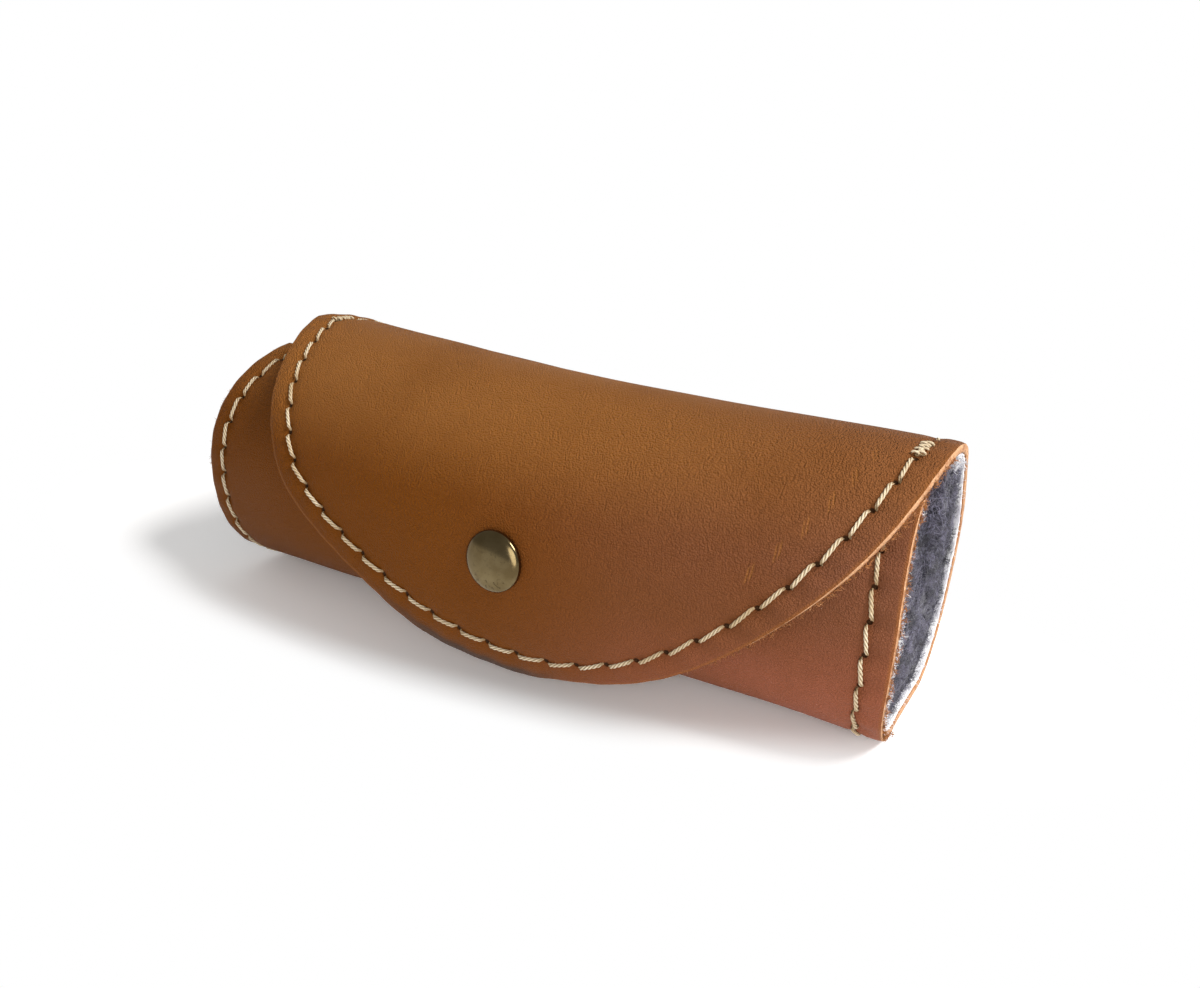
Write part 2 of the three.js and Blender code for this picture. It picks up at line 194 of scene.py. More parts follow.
def newMaterial(name):
    material = bpy.data.materials.new(name)
    material.use_nodes = True
    tree = material.node_tree
    tree.nodes.clear()
    surface = put(tree, "ShaderNodeBsdfPrincipled")
    end = put(tree, "ShaderNodeOutputMaterial", {"Surface": surface.outputs["BSDF"]})
    return material, tree, surface, end


def finishSurface(surface, inputs, bump, height):
    strength, distance = bump
    relief = {"Strength": strength, "Distance": distance, "Height": height}
    normal = put(surface.id_data, "ShaderNodeBump", relief).outputs[0]
    for name, value in {**inputs, "Normal": normal}.items():
        feed(surface.inputs[name], value)


# Pebbled hide: small cells with fine pores between them, and slow changes of tone
grainPlan = {
    "bendScale": 260.0,
    "bend": 0.0007,
    "poreHeight": 0.5,
    "pebbleHeight": 0.75,
    "detail": 2.0,
    "cloudDetail": 4.0,
}


def makeGrainGroup(plan):
    group, given, out = newGroup(
        "hideGrain",
        "ShaderNodeTree",
        {"Place": "Vector", "Pebbles": 2900.0, "Pores": 6000.0, "Clouds": 30.0},
        {"Height": "Float", "Tone": "Float"},
    )
    bend = noiseAt(given["Place"], plan["bendScale"], plan["detail"])["Color"]
    bend = vectorCalc("SUBTRACT", bend, (0.5, 0.5, 0.5))
    place = vectorCalc("ADD", given["Place"], vectorCalc("SCALE", bend, plan["bend"]))
    cells = put(group, "ShaderNodeTexVoronoi", {"Vector": place, "Scale": given["Pebbles"]}, feature="F1")
    pebble = calc("SUBTRACT", plan["pebbleHeight"], cells.outputs["Distance"])
    pores = noiseAt(place, given["Pores"], plan["detail"])["Fac"]
    feed(out["Height"], scaled(pores, plan["poreHeight"], pebble))
    feed(out["Tone"], noiseAt(given["Place"], given["Clouds"], plan["cloudDetail"])["Fac"])
    return group


# Fibres and clumps: streaks for thread and wool, specks for worn metal
def makeClumpGroup():
    group, given, out = newGroup(
        "clumpTone",
        "ShaderNodeTree",
        {"Place": "Vector", "Clumps": 120.0, "Fibres": 2600.0},
        {"Clump": "Float", "Fibre": "Float"},
    )
    for label in ("Clump", "Fibre"):
        feed(out[label], noiseAt(given["Place"], given[label + "s"], 3.0)["Fac"])
    return group


hideGrain = makeGrainGroup(grainPlan)
clumpTone = makeClumpGroup()

seam = {
    "inset": 4.8,  # mm from the cut edge
    "pitch": 6.5,  # mm from hole to hole
    "dip": 0.48,  # the thread pulls the leather down so far
    "width": 1.3,
    "pucker": 0.45,
    "scallop": 0.2,
    "scallopMiddle": 3.0,
    "scallopWidth": 2.6,
    "rim": 0.16,
    "rimWidth": 0.8,
    "backPull": 0.3,  # the back's thread is drawn in further
    "start": 0.11,  # stitches by which the flap's first and last holes miss the fold
    "finish": 0.2,
    "backSkips": (0.9, 0.4),  # stitches left free at a run's ends
    "frontSkips": (0.4, 0.4),
}
leatherLook = paints({
    "tan": (111, 60, 8),
    "deep": (105, 56, 7),
    "rightSheenAndLight": (117, 72, 51),  # painted sheen and light, towards the right end
    "topLightAndMarks": (156, 100, 47),  # painted light on top, and the lighter shade of the press marks
    "pit": (86, 46, 12),
    "lowFrontLight": (158, 92, 70),  # painted light low on the front, at the right end
    "shaded": (74, 53, 41),  # painted shade along the flap's edge left of the tip
    # painted shade in the stitch holes
    "hole": (56, 35, 20),
    "rubbed": (158, 98, 46),
    "flesh": (170, 118, 72),
    "fleshDeep": (150, 98, 56),
    "fleshPale": (196, 148, 100),
    "raw": (204, 153, 110),
    "rawDeep": (166, 110, 68),
    "rawPale": (222, 182, 142),
    "frayed": (190, 124, 66),
    "frayedDeep": (146, 88, 44),
})
# Where each change in the leather sets in and where it is full, in metres of the frame unless noted
leatherRange = {
    "hole": (0.6, 0.25),  # mm from the hole's middle
    "grooveShade": (1.5, 0.2),  # mm from the seam, painted shade in its groove
    "rubbed": (0.16, 0.02),  # seam insets from the cut edge
    "rightEnd": (-0.01, 0.085),
    "lowFrontLightX": (0.01, 0.065),
    "lowFrontLightY": (0.012, -0.006),
    "lowFrontLightZ": (0.036, 0.014),
    "litTopZ": (0.044, 0.061),
    "proudZ": (0.034, 0.058),  # the grain stands out more, higher up
    "tone": (0.4, 0.75),  # of the grain's own tone
    "pit": (0.8, 0.45),  # of the grain's own height
}
leatherShare = {
    "top": (-0.45, 0.9),  # of the painted top light: change towards the right end, and share at the left
    "pit": (0.16, 0.12),
    "tone": 0.35,
    "rubbed": 0.45,
    "grooveShade": 0.2,
    "mark": 0.42,
    "rough": (0.2, 0.46),  # change with the tone, and start
    "holeRough": 0.3,
    "proud": (0.7, 0.7),
    "holeHeight": -3.0,
    "markHeight": -0.55,
}
# Pairs of short slanting marks that the sewing foot pressed beside the flap's right seam, one for each stitch
pressMarks = {
    "runs": (25.0, 31.0),
    "runFade": 0.2,
    "fromEdge": (9.2, 11.6),
    "edgeFade": 0.7,
    "middle": 10.2,
    "slope": 1.5,
    "apart": 0.085,
    "width": 0.085,
    "core": 0.005,
}


def within(value, ends, fade):
    low, high = ends
    return times(eased(value, low, low + fade), eased(value, high, high - fade))


def pressedMarks(run, fromEdge, plan):
    over = times(calc("SUBTRACT", fromEdge, plan["middle"]), -plan["slope"] / seam["pitch"])
    aside = calc("SUBTRACT", 0.5, calc("PINGPONG", calc("ADD", run, over), 0.5))
    line = eased(calc("ABSOLUTE", calc("SUBTRACT", aside, plan["apart"])), plan["width"], plan["core"])
    inRun = within(run, plan["runs"], plan["runFade"])
    return times(inRun, within(fromEdge, plan["fromEdge"], plan["edgeFade"]), line)


def leatherMaterial(look, span, share):
    material, tree, surface, _ = newMaterial("tanLeather")
    grain = groupIn(tree, hideGrain, {})
    x, y, z = split(objectPlace(tree))
    run, inEdges, _ = split(put(tree, "ShaderNodeUVMap", uv_map="seamMap").outputs[0])
    fromHole = calc("SUBTRACT", calc("FRACT", calc("ADD", run, 0.5)), 0.5)
    fromSeam = times(calc("SUBTRACT", inEdges, 1.0), seam["inset"])
    hole = eased(hypotenuse(times(fromHole, seam["pitch"]), fromSeam), *span["hole"])
    grooveShade = eased(calc("ABSOLUTE", fromSeam), *span["grooveShade"])
    mark = pressedMarks(run, times(inEdges, seam["inset"]), pressMarks)
    side = eased(x, *span["rightEnd"])
    # painted light low on the front at the right end
    lowRight = times(eased(x, *span["lowFrontLightX"]), eased(z, *span["lowFrontLightZ"]), eased(y, *span["lowFrontLightY"]))
    # painted light on top, less towards the right end
    litTop = times(eased(z, *span["litTopZ"]), scaled(side, *share["top"]))
    pit = times(eased(grain["Height"], *span["pit"]), scaled(side, *share["pit"]))
    colour = layered(
        look["tan"],
        # painted sheen and light towards the right end
        (side, look["rightSheenAndLight"]),
        (lowRight, look["lowFrontLight"]),
        (litTop, look["topLightAndMarks"]),
        (times(eased(grain["Tone"], *span["tone"]), share["tone"]), look["deep"]),
        (times(eased(inEdges, *span["rubbed"]), share["rubbed"]), look["rubbed"]),
        # painted shade in the seam's groove
        (times(grooveShade, share["grooveShade"]), look["deep"]),
        (pit, look["pit"]),
        (times(mark, share["mark"]), look["topLightAndMarks"]),
        # painted shade in the stitch holes
        (hole, look["hole"]),
        # painted shade along the flap's edge left of the tip
        (attribute(tree, "rolled"), look["shaded"]),
    )
    height = times(grain["Height"], scaled(eased(z, *span["proudZ"]), *share["proud"]))
    height = scaled(mark, share["markHeight"], scaled(hole, share["holeHeight"], height))
    inputs = {
        "Base Color": colour,
        "Roughness": scaled(hole, share["holeRough"], scaled(grain["Tone"], *share["rough"])),
        "Specular IOR Level": 0.11,
        "Specular Tint": (1.0, 0.82, 0.62, 1.0),
    }
    finishSurface(surface, inputs, (0.9, 0.0004), height)
    return material


def rawEdgeMaterial(name, look, shades):
    material, tree, surface, _ = newMaterial(name)
    fibres = groupIn(tree, clumpTone, {"Clumps": 420.0, "Fibres": 2400.0})
    plain, deep, pale = (look[shade] for shade in shades)
    colour = layered(
        plain,
        (eased(fibres["Clump"], 0.4, 0.68), deep),
        (eased(fibres["Fibre"], 0.5, 0.75), pale),
        # painted shade on the cut edge left of the flap's tip
        (attribute(tree, "rolled"), look["shaded"]),
    )
    finishSurface(surface, {"Base Color": colour, "Roughness": 0.85}, (0.9, 0.0006), fibres["Fibre"])
    return material


def fleshMaterial(look):
    material, tree, surface, _ = newMaterial("leatherFlesh")
    grain = groupIn(tree, hideGrain, {"Pebbles": 2400.0, "Pores": 5200.0, "Clouds": 60.0})
    nap = groupIn(tree, clumpTone, {"Clumps": 300.0, "Fibres": 4200.0})
    colour = layered(
        look["flesh"],
        (eased(grain["Tone"], 0.35, 0.7), look["fleshDeep"]),
        (eased(nap["Fibre"], 0.5, 0.8), look["fleshPale"]),
    )
    inputs = {"Base Color": colour, "Roughness": 0.9, "Specular IOR Level": 0.2}
    finishSurface(surface, inputs, (0.5, 0.0002), scaled(nap["Fibre"], 0.8, grain["Height"]))
    return material


# the groove tone is painted shade between the plies
threadLook = paints({"lit": (218, 203, 174), "shade": (182, 159, 123), "groove": (152, 127, 92)})


def threadMaterial(look):
    material, tree, surface, _ = newMaterial("waxedThread")
    fibres = groupIn(tree, clumpTone, {"Clumps": 90.0, "Fibres": 5200.0})
    colour = layered(
        look["lit"],
        (eased(fibres["Clump"], 0.35, 0.7), look["shade"]),
        (eased(fibres["Fibre"], 0.5, 0.25), look["shade"]),
        # painted shade in the grooves between the plies
        (eased(attribute(tree, "crown"), 0.9, 0.35), look["groove"]),
    )
    finishSurface(surface, {"Base Color": colour, "Roughness": 0.48}, (0.5, 0.0001), fibres["Fibre"])
    return material


liningLook = paints({
    "pelt": (248, 247, 248),
    "peltShade": (200, 197, 203),
    "wool": (108, 104, 126),
    "woolHollowShade": (36, 34, 44),
    "woolRootShade": (42, 40, 50),
    "woolPaleAndHighlight": (164, 160, 184),
})


def peltMaterial(look):
    material, tree, surface, _ = newMaterial("whitePelt")
    fibres = groupIn(tree, clumpTone, {"Clumps": 260.0, "Fibres": 3000.0})
    colour = mixed(eased(fibres["Clump"], 0.4, 0.7), look["pelt"], look["peltShade"])
    finishSurface(surface, {"Base Color": colour, "Roughness": 0.92}, (0.5, 0.0003), fibres["Fibre"])
    return material


# Painted shade at the roots and in the hollows between the curls, painted highlight at the tips, and pale
# fibres at random
woolShare = {
    "hollowShade": (0.44, 0.57),
    "pale": (0.58, 0.85),
    "tip": (0.05, 0.85),
    "root": 0.65,
    "bright": (-0.5, 0.58),  # painted highlight on the tips: change in the hollows, and share outside them
}


def woolMaterial(name, look, share, patchy):
    material, tree, surface, _ = newMaterial(name)
    fibres = groupIn(tree, clumpTone, {"Clumps": 230.0, "Fibres": 2200.0})
    hollowShade = times(eased(fibres["Clump"], *share["hollowShade"]), patchy)
    tip = eased(attribute(tree, "tip"), *share["tip"])
    colour = layered(
        look["wool"],
        # painted shade in the hollows and at the roots, painted highlight on the tips
        (hollowShade, look["woolHollowShade"]),
        (eased(fibres["Fibre"], *share["pale"]), look["woolPaleAndHighlight"]),
        (scaled(tip, -share["root"], share["root"]), look["woolRootShade"]),
        (times(tip, scaled(hollowShade, *share["bright"])), look["woolPaleAndHighlight"]),
    )
    inputs = {"Base Color": colour, "Roughness": 0.9, "Sheen Weight": 0.25, "Sheen Roughness": 0.5}
    finishSurface(surface, inputs, (0.6, 0.0006), fibres["Fibre"])
    return material


brassLook = paints({
    "bright": (130, 114, 82),
    "aged": (112, 95, 64),
    "darkTopReflection": (70, 57, 36),
    "grime": (52, 42, 28),
})
brassShare = {
    "low": (0.0365, 0.030),  # metres up, where there is more grime
    "high": (0.0335, 0.0375),  # metres up, where a painted reflection of the darker room darkens the cap
    "aged": (0.34, 0.66),
    "darkTopReflection": 0.35,
    "speck": (0.58, 0.64),
    "speckLow": (0.8, 0.2),  # change low on the cap, and share above
    "grime": 0.7,
    "rough": (0.1, 0.14),  # change with the patina, and start
    "speckRough": 0.25,
    "fibreHeight": 0.25,
}


def brassMaterial(look, share):
    material, tree, surface, _ = newMaterial("agedBrass")
    patina = groupIn(tree, clumpTone, {"Clumps": 240.0, "Fibres": 1700.0})
    height = split(objectPlace(tree))[2]
    low = scaled(eased(height, *share["low"]), *share["speckLow"])
    speck = times(eased(patina["Fibre"], *share["speck"]), low)
    colour = layered(
        look["bright"],
        (eased(patina["Clump"], *share["aged"]), look["aged"]),
        # painted reflection of the darker room on the cap's upper part
        (times(eased(height, *share["high"]), share["darkTopReflection"]), look["darkTopReflection"]),
        (times(speck, share["grime"]), look["grime"]),
    )
    rough = scaled(speck, share["speckRough"], scaled(patina["Clump"], *share["rough"]))
    relief = scaled(speck, -1.0, times(patina["Fibre"], share["fibreHeight"]))
    inputs = {"Base Color": colour, "Metallic": 1.0, "Roughness": rough}
    finishSurface(surface, inputs, (0.2, 0.0001), relief)
    return material


tanLeather = leatherMaterial(leatherLook, leatherRange, leatherShare)
rawEdge = rawEdgeMaterial("rawEdge", leatherLook, ("raw", "rawDeep", "rawPale"))
frayedEdge = rawEdgeMaterial("frayedEdge", leatherLook, ("frayed", "frayedDeep", "raw"))
leatherFlesh = fleshMaterial(leatherLook)
hideMaterials = (tanLeather, rawEdge, leatherFlesh)  # outer face, cut edge and inner face
waxedThread = threadMaterial(threadLook)
whitePelt = peltMaterial(liningLook)
greyWool = woolMaterial("greyWool", liningLook, woolShare, 1.0)
woolBed = woolMaterial("woolBed", liningLook, woolShare, 0.75)
agedBrass = brassMaterial(brassLook, brassShare)
print("materials made")

# Shape of the roll, in mm. Angles run round the section: 180 is the front, 270 the foot, 450 the top.
roll = {
    "boxMiddle": (4.0, 5.2694, 0.0),  # the frame's origin is under the middle of the box
    "halfLength": 74.0,
    "halfDepth": (33.5, 35.5, 24.5),  # at the left end, the middle and the right end
    "halfHeight": (29.0, 25.5, 28.0),
    "middleY": (-1.3, 0.0, 3.7),
    "squareness": 2.4,
    "rightLean": -13.5,
    "waistLift": 4.5,
    "footDepth": 1.5,
    "footSoftness": 0.6,
    "widerLeft": 11.5,
    "widerLeftTurns": (40, 185, 222, 275),
    "widerRight": 2.5,
    "foldShift": 3.5,
    "foldShiftFrom": 390.0,
    "standOff": 8.5,  # the flap lies over the front wall's wool
    "standOffTurns": (410.0, 480.0),
    "frontEnd": 110.0,
    "foot": 270.0,
    "join": 272.0,  # under the foot
    "top": 450.0,
    "fold": 462.5,
    "leather": 1.9,
    "pelt": 0.6,
    "wool": 11.65,
    "sway": 0.3,  # slow unevenness of the hide
    "swaySize": 26.0,
}


def along(share, ends):
    left, middle, right = ends
    return middle + (right - left) / 2 * share + ((right + left) / 2 - middle) * share**2


def ease(value, low, high):
    t = np.clip((np.asarray(value, float) - low) / (high - low), 0, 1)
    return t * t * (3 - 2 * t)


# Grows over the first two ends and goes over the last two
def plateau(value, ends):
    first, second, third, fourth = ends
    return ease(value, first, second) * (1 - ease(value, third, fourth))


def bell(value, middle, width):
    return np.exp(-(((value - middle) / width) ** 2))


def rollPoint(share, x, angle, inset):
    share, x, angle, inset = np.broadcast_arrays(*[np.asarray(v, float) for v in (share, x, angle, inset)])
    lean = np.radians(roll["rightLean"] * ((1 + share) / 2) ** 2)
    depth, height = along(share, roll["halfDepth"]), along(share, roll["halfHeight"])
    power = roll["squareness"]
    turn = np.radians(angle)
    across = np.abs(np.cos(turn - lean)) / depth
    upward = np.abs(np.sin(turn - lean)) / height
    radius = (across**power + upward**power) ** (-1 / power)
    radius = radius + roll["standOff"] * ease(angle, *roll["standOffTurns"]) - inset
    middleZ = np.hypot(height * np.cos(lean), depth * np.sin(lean)) + roll["waistLift"] * (1 - share**2)
    y = along(share, roll["middleY"]) + radius * np.cos(turn)
    z = middleZ - roll["footDepth"] + radius * np.sin(turn) - inset
    z = inset + (z + np.sqrt(z**2 + roll["footSoftness"] ** 2)) / 2
    return np.stack([x, y, z], axis=-1)


def bodyEnds(angle):
    angle = np.asarray(angle, float)
    shift = roll["foldShift"] * ease(angle, roll["foldShiftFrom"], roll["fold"])
    wideLeft = roll["widerLeft"] * plateau(angle, roll["widerLeftTurns"])
    wideRight = roll["widerRight"] * np.where(angle < roll["foot"], np.cos(np.radians(angle)) ** 2, 0.0)
    return shift - roll["halfLength"] - wideLeft, shift + roll["halfLength"] + wideRight


def bodyPoint(fromLeft, angle, inset):
    left, right = bodyEnds(angle)
    return rollPoint(2 * fromLeft / (right - left) - 1, left + fromLeft, angle, inset)


flapCut = {
    "corners": (-70.5, 77.5),  # across, at the fold
    "leftHandle": (7.0, 15.0),  # across and down
    "shoulder": (-50.9, 52.4),
    "shoulderSlope": 0.95,
    "shoulderHandles": (23.0, 9.4),
    "tip": (15.4, 80.8),
    "tipHandles": (28.0, 32.7),
    "rightHandle": 33.6,
    "points": 400,
    "squareOver": 8.0,  # at the fold the margin runs square to it
    "wrapRadius": 41.3,
    "slideOver": 40.0,
    "belly": 2.2,  # the tip stands out from the wall so much more
    "bellyTurns": (528.0, 562.0),
    "bellyMiddle": 4.0,
    "bellyWidth": 32.0,
    "fullAcross": (-28.0, -5.0, 8.0, 21.0),  # left of the tip the margin is wider, and a painted shade darkens its edge
    "fuller": 2.7,
    "tipShadeEdge": (1.9, 2.2),
    "foldMargin": 34.0,  # the flap's grid is gathered so far in from its corners
    "toFold": 40.0,
    "steps": 160,
    "rows": 30,
    "backRows": 98,
}
foldDown = math.radians(roll["fold"] - roll["top"]) * flapCut["wrapRadius"]


def flapPoint(x, down, inset):
    slide = roll["foldShift"] * (1 - ease(down, foldDown, foldDown + flapCut["slideOver"]))
    angle = roll["top"] + np.degrees(np.asarray(down, float) / flapCut["wrapRadius"])
    belly = flapCut["belly"] * bell(x, flapCut["bellyMiddle"], flapCut["bellyWidth"])
    belly = belly * ease(angle, *flapCut["bellyTurns"])
    return rollPoint((x - slide) / roll["halfLength"], x, angle, inset - belly)


def unit(vectors):
    return vectors / np.linalg.norm(vectors, axis=-1, keepdims=True)


def metres(points):
    return (np.asarray(points, float) + np.array(roll["boxMiddle"])) / 1000


def waver(points, size, seed):
    shift = Vector((seed, seed, seed))
    values = [noise.noise(Vector(p) / size + shift) for p in points.reshape(-1, 3)]
    return np.array(values).reshape(points.shape[:-1])


# A hole lies at each whole number of run, and run counts stitches along the seam
def surfaceDip(run, fromEdge):
    wave = np.cos(2 * np.pi * run)
    groove = seam["dip"] * bell(fromEdge, seam["inset"], seam["width"]) * (1 + seam["pucker"] * wave)
    scallop = seam["scallop"] * wave * bell(fromEdge, seam["scallopMiddle"], seam["scallopWidth"])
    return groove + scallop + seam["rim"] * (1 - ease(fromEdge, 0, seam["rimWidth"]))


# Rows of the leather's grid, in mm from the cut edge, closest at the seam
edgeSteps = np.array(
    [0, 0.12, 0.35, 0.8, 1.4, 2.1, 2.8, 3.4, 3.9, 4.35, 4.8, 5.25, 5.7, 6.3, 7.1, 8.2, 9.6, 11.5]
)


def runLength(points):
    steps = np.linalg.norm(np.diff(points, axis=0), axis=-1)
    return np.concatenate([[0], np.cumsum(steps)])


def gridFaces(index, uv):
    def corners(grid, axis):
        return np.stack([grid[:-1, :-1], grid[1:, :-1], grid[1:, 1:], grid[:-1, 1:]], axis=axis)

    return corners(index, -1).reshape(-1, 4), corners(uv, 2).reshape(-1, 4, 2)


def makeObject(name, vertices, faces, materials=(), edges=()):
    mesh = bpy.data.meshes.new(name)
    mesh.from_pydata([tuple(v) for v in vertices], edges, [tuple(int(i) for i in f) for f in faces])
    for material in materials:
        mesh.materials.append(material)
    return addObject(name, mesh)


def addVectors(piece, **fields):
    for name, values in fields.items():
        field = piece.data.attributes.new(name, "FLOAT_VECTOR", "POINT")
        field.data.foreach_set("vector", np.asarray(values, np.float32).reshape(-1))


def addFloats(piece, **fields):
    for name, values in fields.items():
        field = piece.data.attributes.new(name, "FLOAT", "POINT")
        field.data.foreach_set("value", np.clip(values, 0, 1).astype(np.float32))


def smooth(mesh):
    mesh.polygons.foreach_set("use_smooth", [True] * len(mesh.polygons))


def reshape(mesh, change):
    shape = bmesh.new()
    shape.from_mesh(mesh)
    change(shape)
    shape.to_mesh(mesh)
    shape.free()


def faceOutward(shape):
    bmesh.ops.recalc_face_normals(shape, faces=shape.faces)


cutEdge = {"swell": 0.1, "rows": (0.3, 0.7), "bulge": 0.9, "ragged": 0.9, "raggedSize": 1.1, "seed": 3}


# Closes an outer and an inner face of the hide with a slightly swollen cut edge
def makeHide(name, outer, inner, faces, corners, materials, swell=cutEdge["swell"], rolled=None):
    count = len(outer)
    edges = {}
    for face, uv in zip(faces, corners):
        for k in range(4):
            edges[(face[k], face[(k + 1) % 4])] = uv[k], uv[(k + 1) % 4]
    openEdges = [(edge, uv) for edge, uv in edges.items() if (edge[1], edge[0]) not in edges]
    middle = outer[faces].mean(axis=1)
    sums, uses = np.zeros((count, 3)), np.zeros(count)
    for k in range(4):
        np.add.at(sums, faces[:, k], middle)
        np.add.at(uses, faces[:, k], 1)
    rim = sorted({i for edge, _ in openEdges for i in edge})
    away = unit(outer[rim] - sums[rim] / uses[rim][:, None])
    place = {v: k for k, v in enumerate(rim)}
    fuzz = 1 + cutEdge["ragged"] * waver(outer[rim], cutEdge["raggedSize"], cutEdge["seed"])[:, None]
    bulge = away * swell * fuzz * cutEdge["bulge"]
    walls = [outer[rim] * (1 - t) + inner[rim] * t + bulge for t in cutEdge["rows"]]
    wallStart = [2 * count, 2 * count + len(rim)]
    allFaces = [tuple(f) for f in faces] + [tuple(f[::-1] + count) for f in faces]
    uvs = [list(c) for c in corners] + [list(c[::-1]) for c in corners]
    kinds = [0] * len(faces) + [2] * len(faces)
    for (a, b), (uvA, uvB) in openEdges:
        layers = [(a, b), *[(s + place[a], s + place[b]) for s in wallStart], (a + count, b + count)]
        for (a1, b1), (a2, b2) in zip(layers, layers[1:]):
            allFaces.append((b1, a1, a2, b2))
            uvs.append([uvB, uvA, uvA, uvB])
            kinds.append(1)
    piece = makeObject(name, metres(np.concatenate([outer, inner, *walls])), allFaces, materials)
    mesh = piece.data
    mesh.uv_layers.new(name="seamMap").data.foreach_set("uv", np.array(uvs, float).reshape(-1))
    mesh.polygons.foreach_set("material_index", kinds)
    smooth(mesh)
    # the painted shade near the flap's tip reaches onto the cut edge too
    if rolled is not None:
        addFloats(piece, rolled=np.concatenate([rolled, 0 * rolled, rolled[rim], rolled[rim]]))
    reshape(mesh, faceOutward)
    return piece


def bezier(ends, t):
    a, b, c, d = (np.array(point) for point in ends)
    return (1 - t) ** 3 * a + 3 * (1 - t) ** 2 * t * b + 3 * (1 - t) * t**2 * c + t**3 * d


def flapOutline(steps):
    left, right = flapCut["corners"]
    tip = np.array(flapCut["tip"])
    shoulder = np.array(flapCut["shoulder"])
    slope = np.array((math.cos(flapCut["shoulderSlope"]), math.sin(flapCut["shoulderSlope"])))
    above, below = flapCut["shoulderHandles"]
    toLeft, toRight = flapCut["tipHandles"]
    across, down = flapCut["leftHandle"]
    parts = (
        ((left, foldDown), (left + across, foldDown + down), shoulder - slope * above, shoulder),
        (shoulder, shoulder + slope * below, tip - (toLeft, 0), tip),
        (tip, tip + (toRight, 0), (right, foldDown + flapCut["rightHandle"]), (right, foldDown)),
    )
    t = np.linspace(0, 1, flapCut["points"])[:, None]
    lines = [bezier(part, t) for part in parts]
    line = np.concatenate([lines[0], lines[1][1:], lines[2][1:]])
    length = runLength(line)
    even = np.linspace(0, length[-1], steps + 1)
    outline = np.stack([np.interp(even, length, line[:, k]) for k in (0, 1)], axis=-1)
    tangent = unit(np.gradient(outline, axis=0))
    square = np.exp(-np.minimum(even, length[-1] - even) / flapCut["squareOver"])[:, None]
    straight = np.where(np.arange(steps + 1)[:, None] < steps / 2, (0.0, 1.0), (0.0, -1.0))
    tangent = unit(tangent * (1 - square) + straight * square)
    tangent[0], tangent[-1] = (0, 1), (0, -1)
    return outline, np.stack([tangent[:, 1], -tangent[:, 0]], axis=-1)


def hideFaces(pointAt, runs, edges):
    sway = roll["sway"] * waver(pointAt(0), roll["swaySize"], 1)
    return pointAt(surfaceDip(runs, edges) + sway), pointAt(roll["leather"])


# Back and flap are one hide, so they are one piece that bends at the fold
def backAndFlapLeather():
    steps, rows = flapCut["steps"], flapCut["rows"]
    outline, inward = flapOutline(steps)
    seamLine = outline + inward * seam["inset"]
    length = runLength(flapPoint(seamLine[:, 0], seamLine[:, 1], 0))
    stitches = round(length[-1] / seam["pitch"])
    run = seam["start"] + length / length[-1] * (stitches - seam["start"] - seam["finish"])
    full = plateau(outline[:, 0], flapCut["fullAcross"])
    widened = flapCut["fuller"] * np.clip(1 - edgeSteps / seam["inset"], 0, 1)[:, None] * full[None]
    rings = outline[None] + inward[None] * (edgeSteps[:, None] - widened)[..., None]
    left, right = flapCut["corners"]
    foldX = np.linspace(left + flapCut["foldMargin"], right - flapCut["foldMargin"], steps + 1)
    foldLine = np.stack([foldX, np.full(steps + 1, foldDown)], axis=-1)
    shares = (np.arange(1, rows + 1) / rows)[:, None, None]
    flat = np.concatenate([rings, rings[-1] * (1 - shares) + foldLine * shares])
    fromEdge = np.concatenate([edgeSteps, edgeSteps[-1] + flapCut["toFold"] * shares[:, 0, 0]])
    ringCount = len(fromEdge)
    runs, edges = np.broadcast_arrays(run[None, :], fromEdge[:, None])
    outerFlap, innerFlap = hideFaces(lambda inset: flapPoint(flat[..., 0], flat[..., 1], inset), runs, edges)
    flapIndex = np.arange(ringCount * (steps + 1)).reshape(ringCount, steps + 1)
    flapUv = np.stack([runs, edges / seam["inset"]], axis=-1)

    down = np.arange(ringCount)
    foldRing = np.concatenate([down, np.full(steps - 1, ringCount - 1), down[::-1]])
    foldStep = np.concatenate([np.zeros(ringCount, int), np.arange(1, steps), np.full(ringCount, steps)])
    foldColumns = flat[foldRing, foldStep, 0]
    turns = np.linspace(roll["join"], roll["fold"], flapCut["backRows"])
    fromLeft = foldColumns - left
    edgeColumns = np.minimum(fromLeft, right - foldColumns)
    width = right - left
    ways = (seam["inset"], width - seam["inset"])
    sides = [runLength(bodyPoint(np.full(len(turns), way), turns, 0)) for way in ways]
    sideRuns = [(side[-1] - side) / seam["pitch"] for side in sides]
    backRuns = np.where(fromLeft[None] < width / 2, sideRuns[0][:, None], sideRuns[1][:, None])
    backEdges = np.broadcast_to(edgeColumns[None], backRuns.shape)
    outerBack, innerBack = hideFaces(
        lambda inset: bodyPoint(fromLeft[None], turns[:, None], inset), backRuns, backEdges
    )
    columns = len(foldColumns)
    backIndex = flapIndex.size + np.arange((len(turns) - 1) * columns).reshape(-1, columns)
    backIndex = np.concatenate([backIndex, flapIndex[foldRing, foldStep][None]])
    backUv = np.stack([backRuns, backEdges / seam["inset"]], axis=-1)

    outer = np.concatenate([outerFlap.reshape(-1, 3), outerBack[:-1].reshape(-1, 3)])
    inner = np.concatenate([innerFlap.reshape(-1, 3), innerBack[:-1].reshape(-1, 3)])
    flapFaces, flapCorners = gridFaces(flapIndex[:, ::-1], flapUv[:, ::-1])
    backFaces, backCorners = gridFaces(backIndex, backUv)
    faces = np.concatenate([flapFaces, backFaces])
    corners = np.concatenate([flapCorners, backCorners])
    # painted shade near the edge, left of the tip
    rolled = np.zeros(len(outer))
    nearEdge = 1 - ease(fromEdge, *flapCut["tipShadeEdge"])
    rolled[: flapIndex.size] = (nearEdge[:, None] * full[None]).reshape(-1)
    piece = makeHide("backAndFlapLeather", outer, inner, faces, corners, hideMaterials, rolled=rolled)
    return piece, {"line": seamLine, "run": run, "stitches": stitches}, sideRuns, turns


wallGrid = {"rows": 110, "columns": 44}


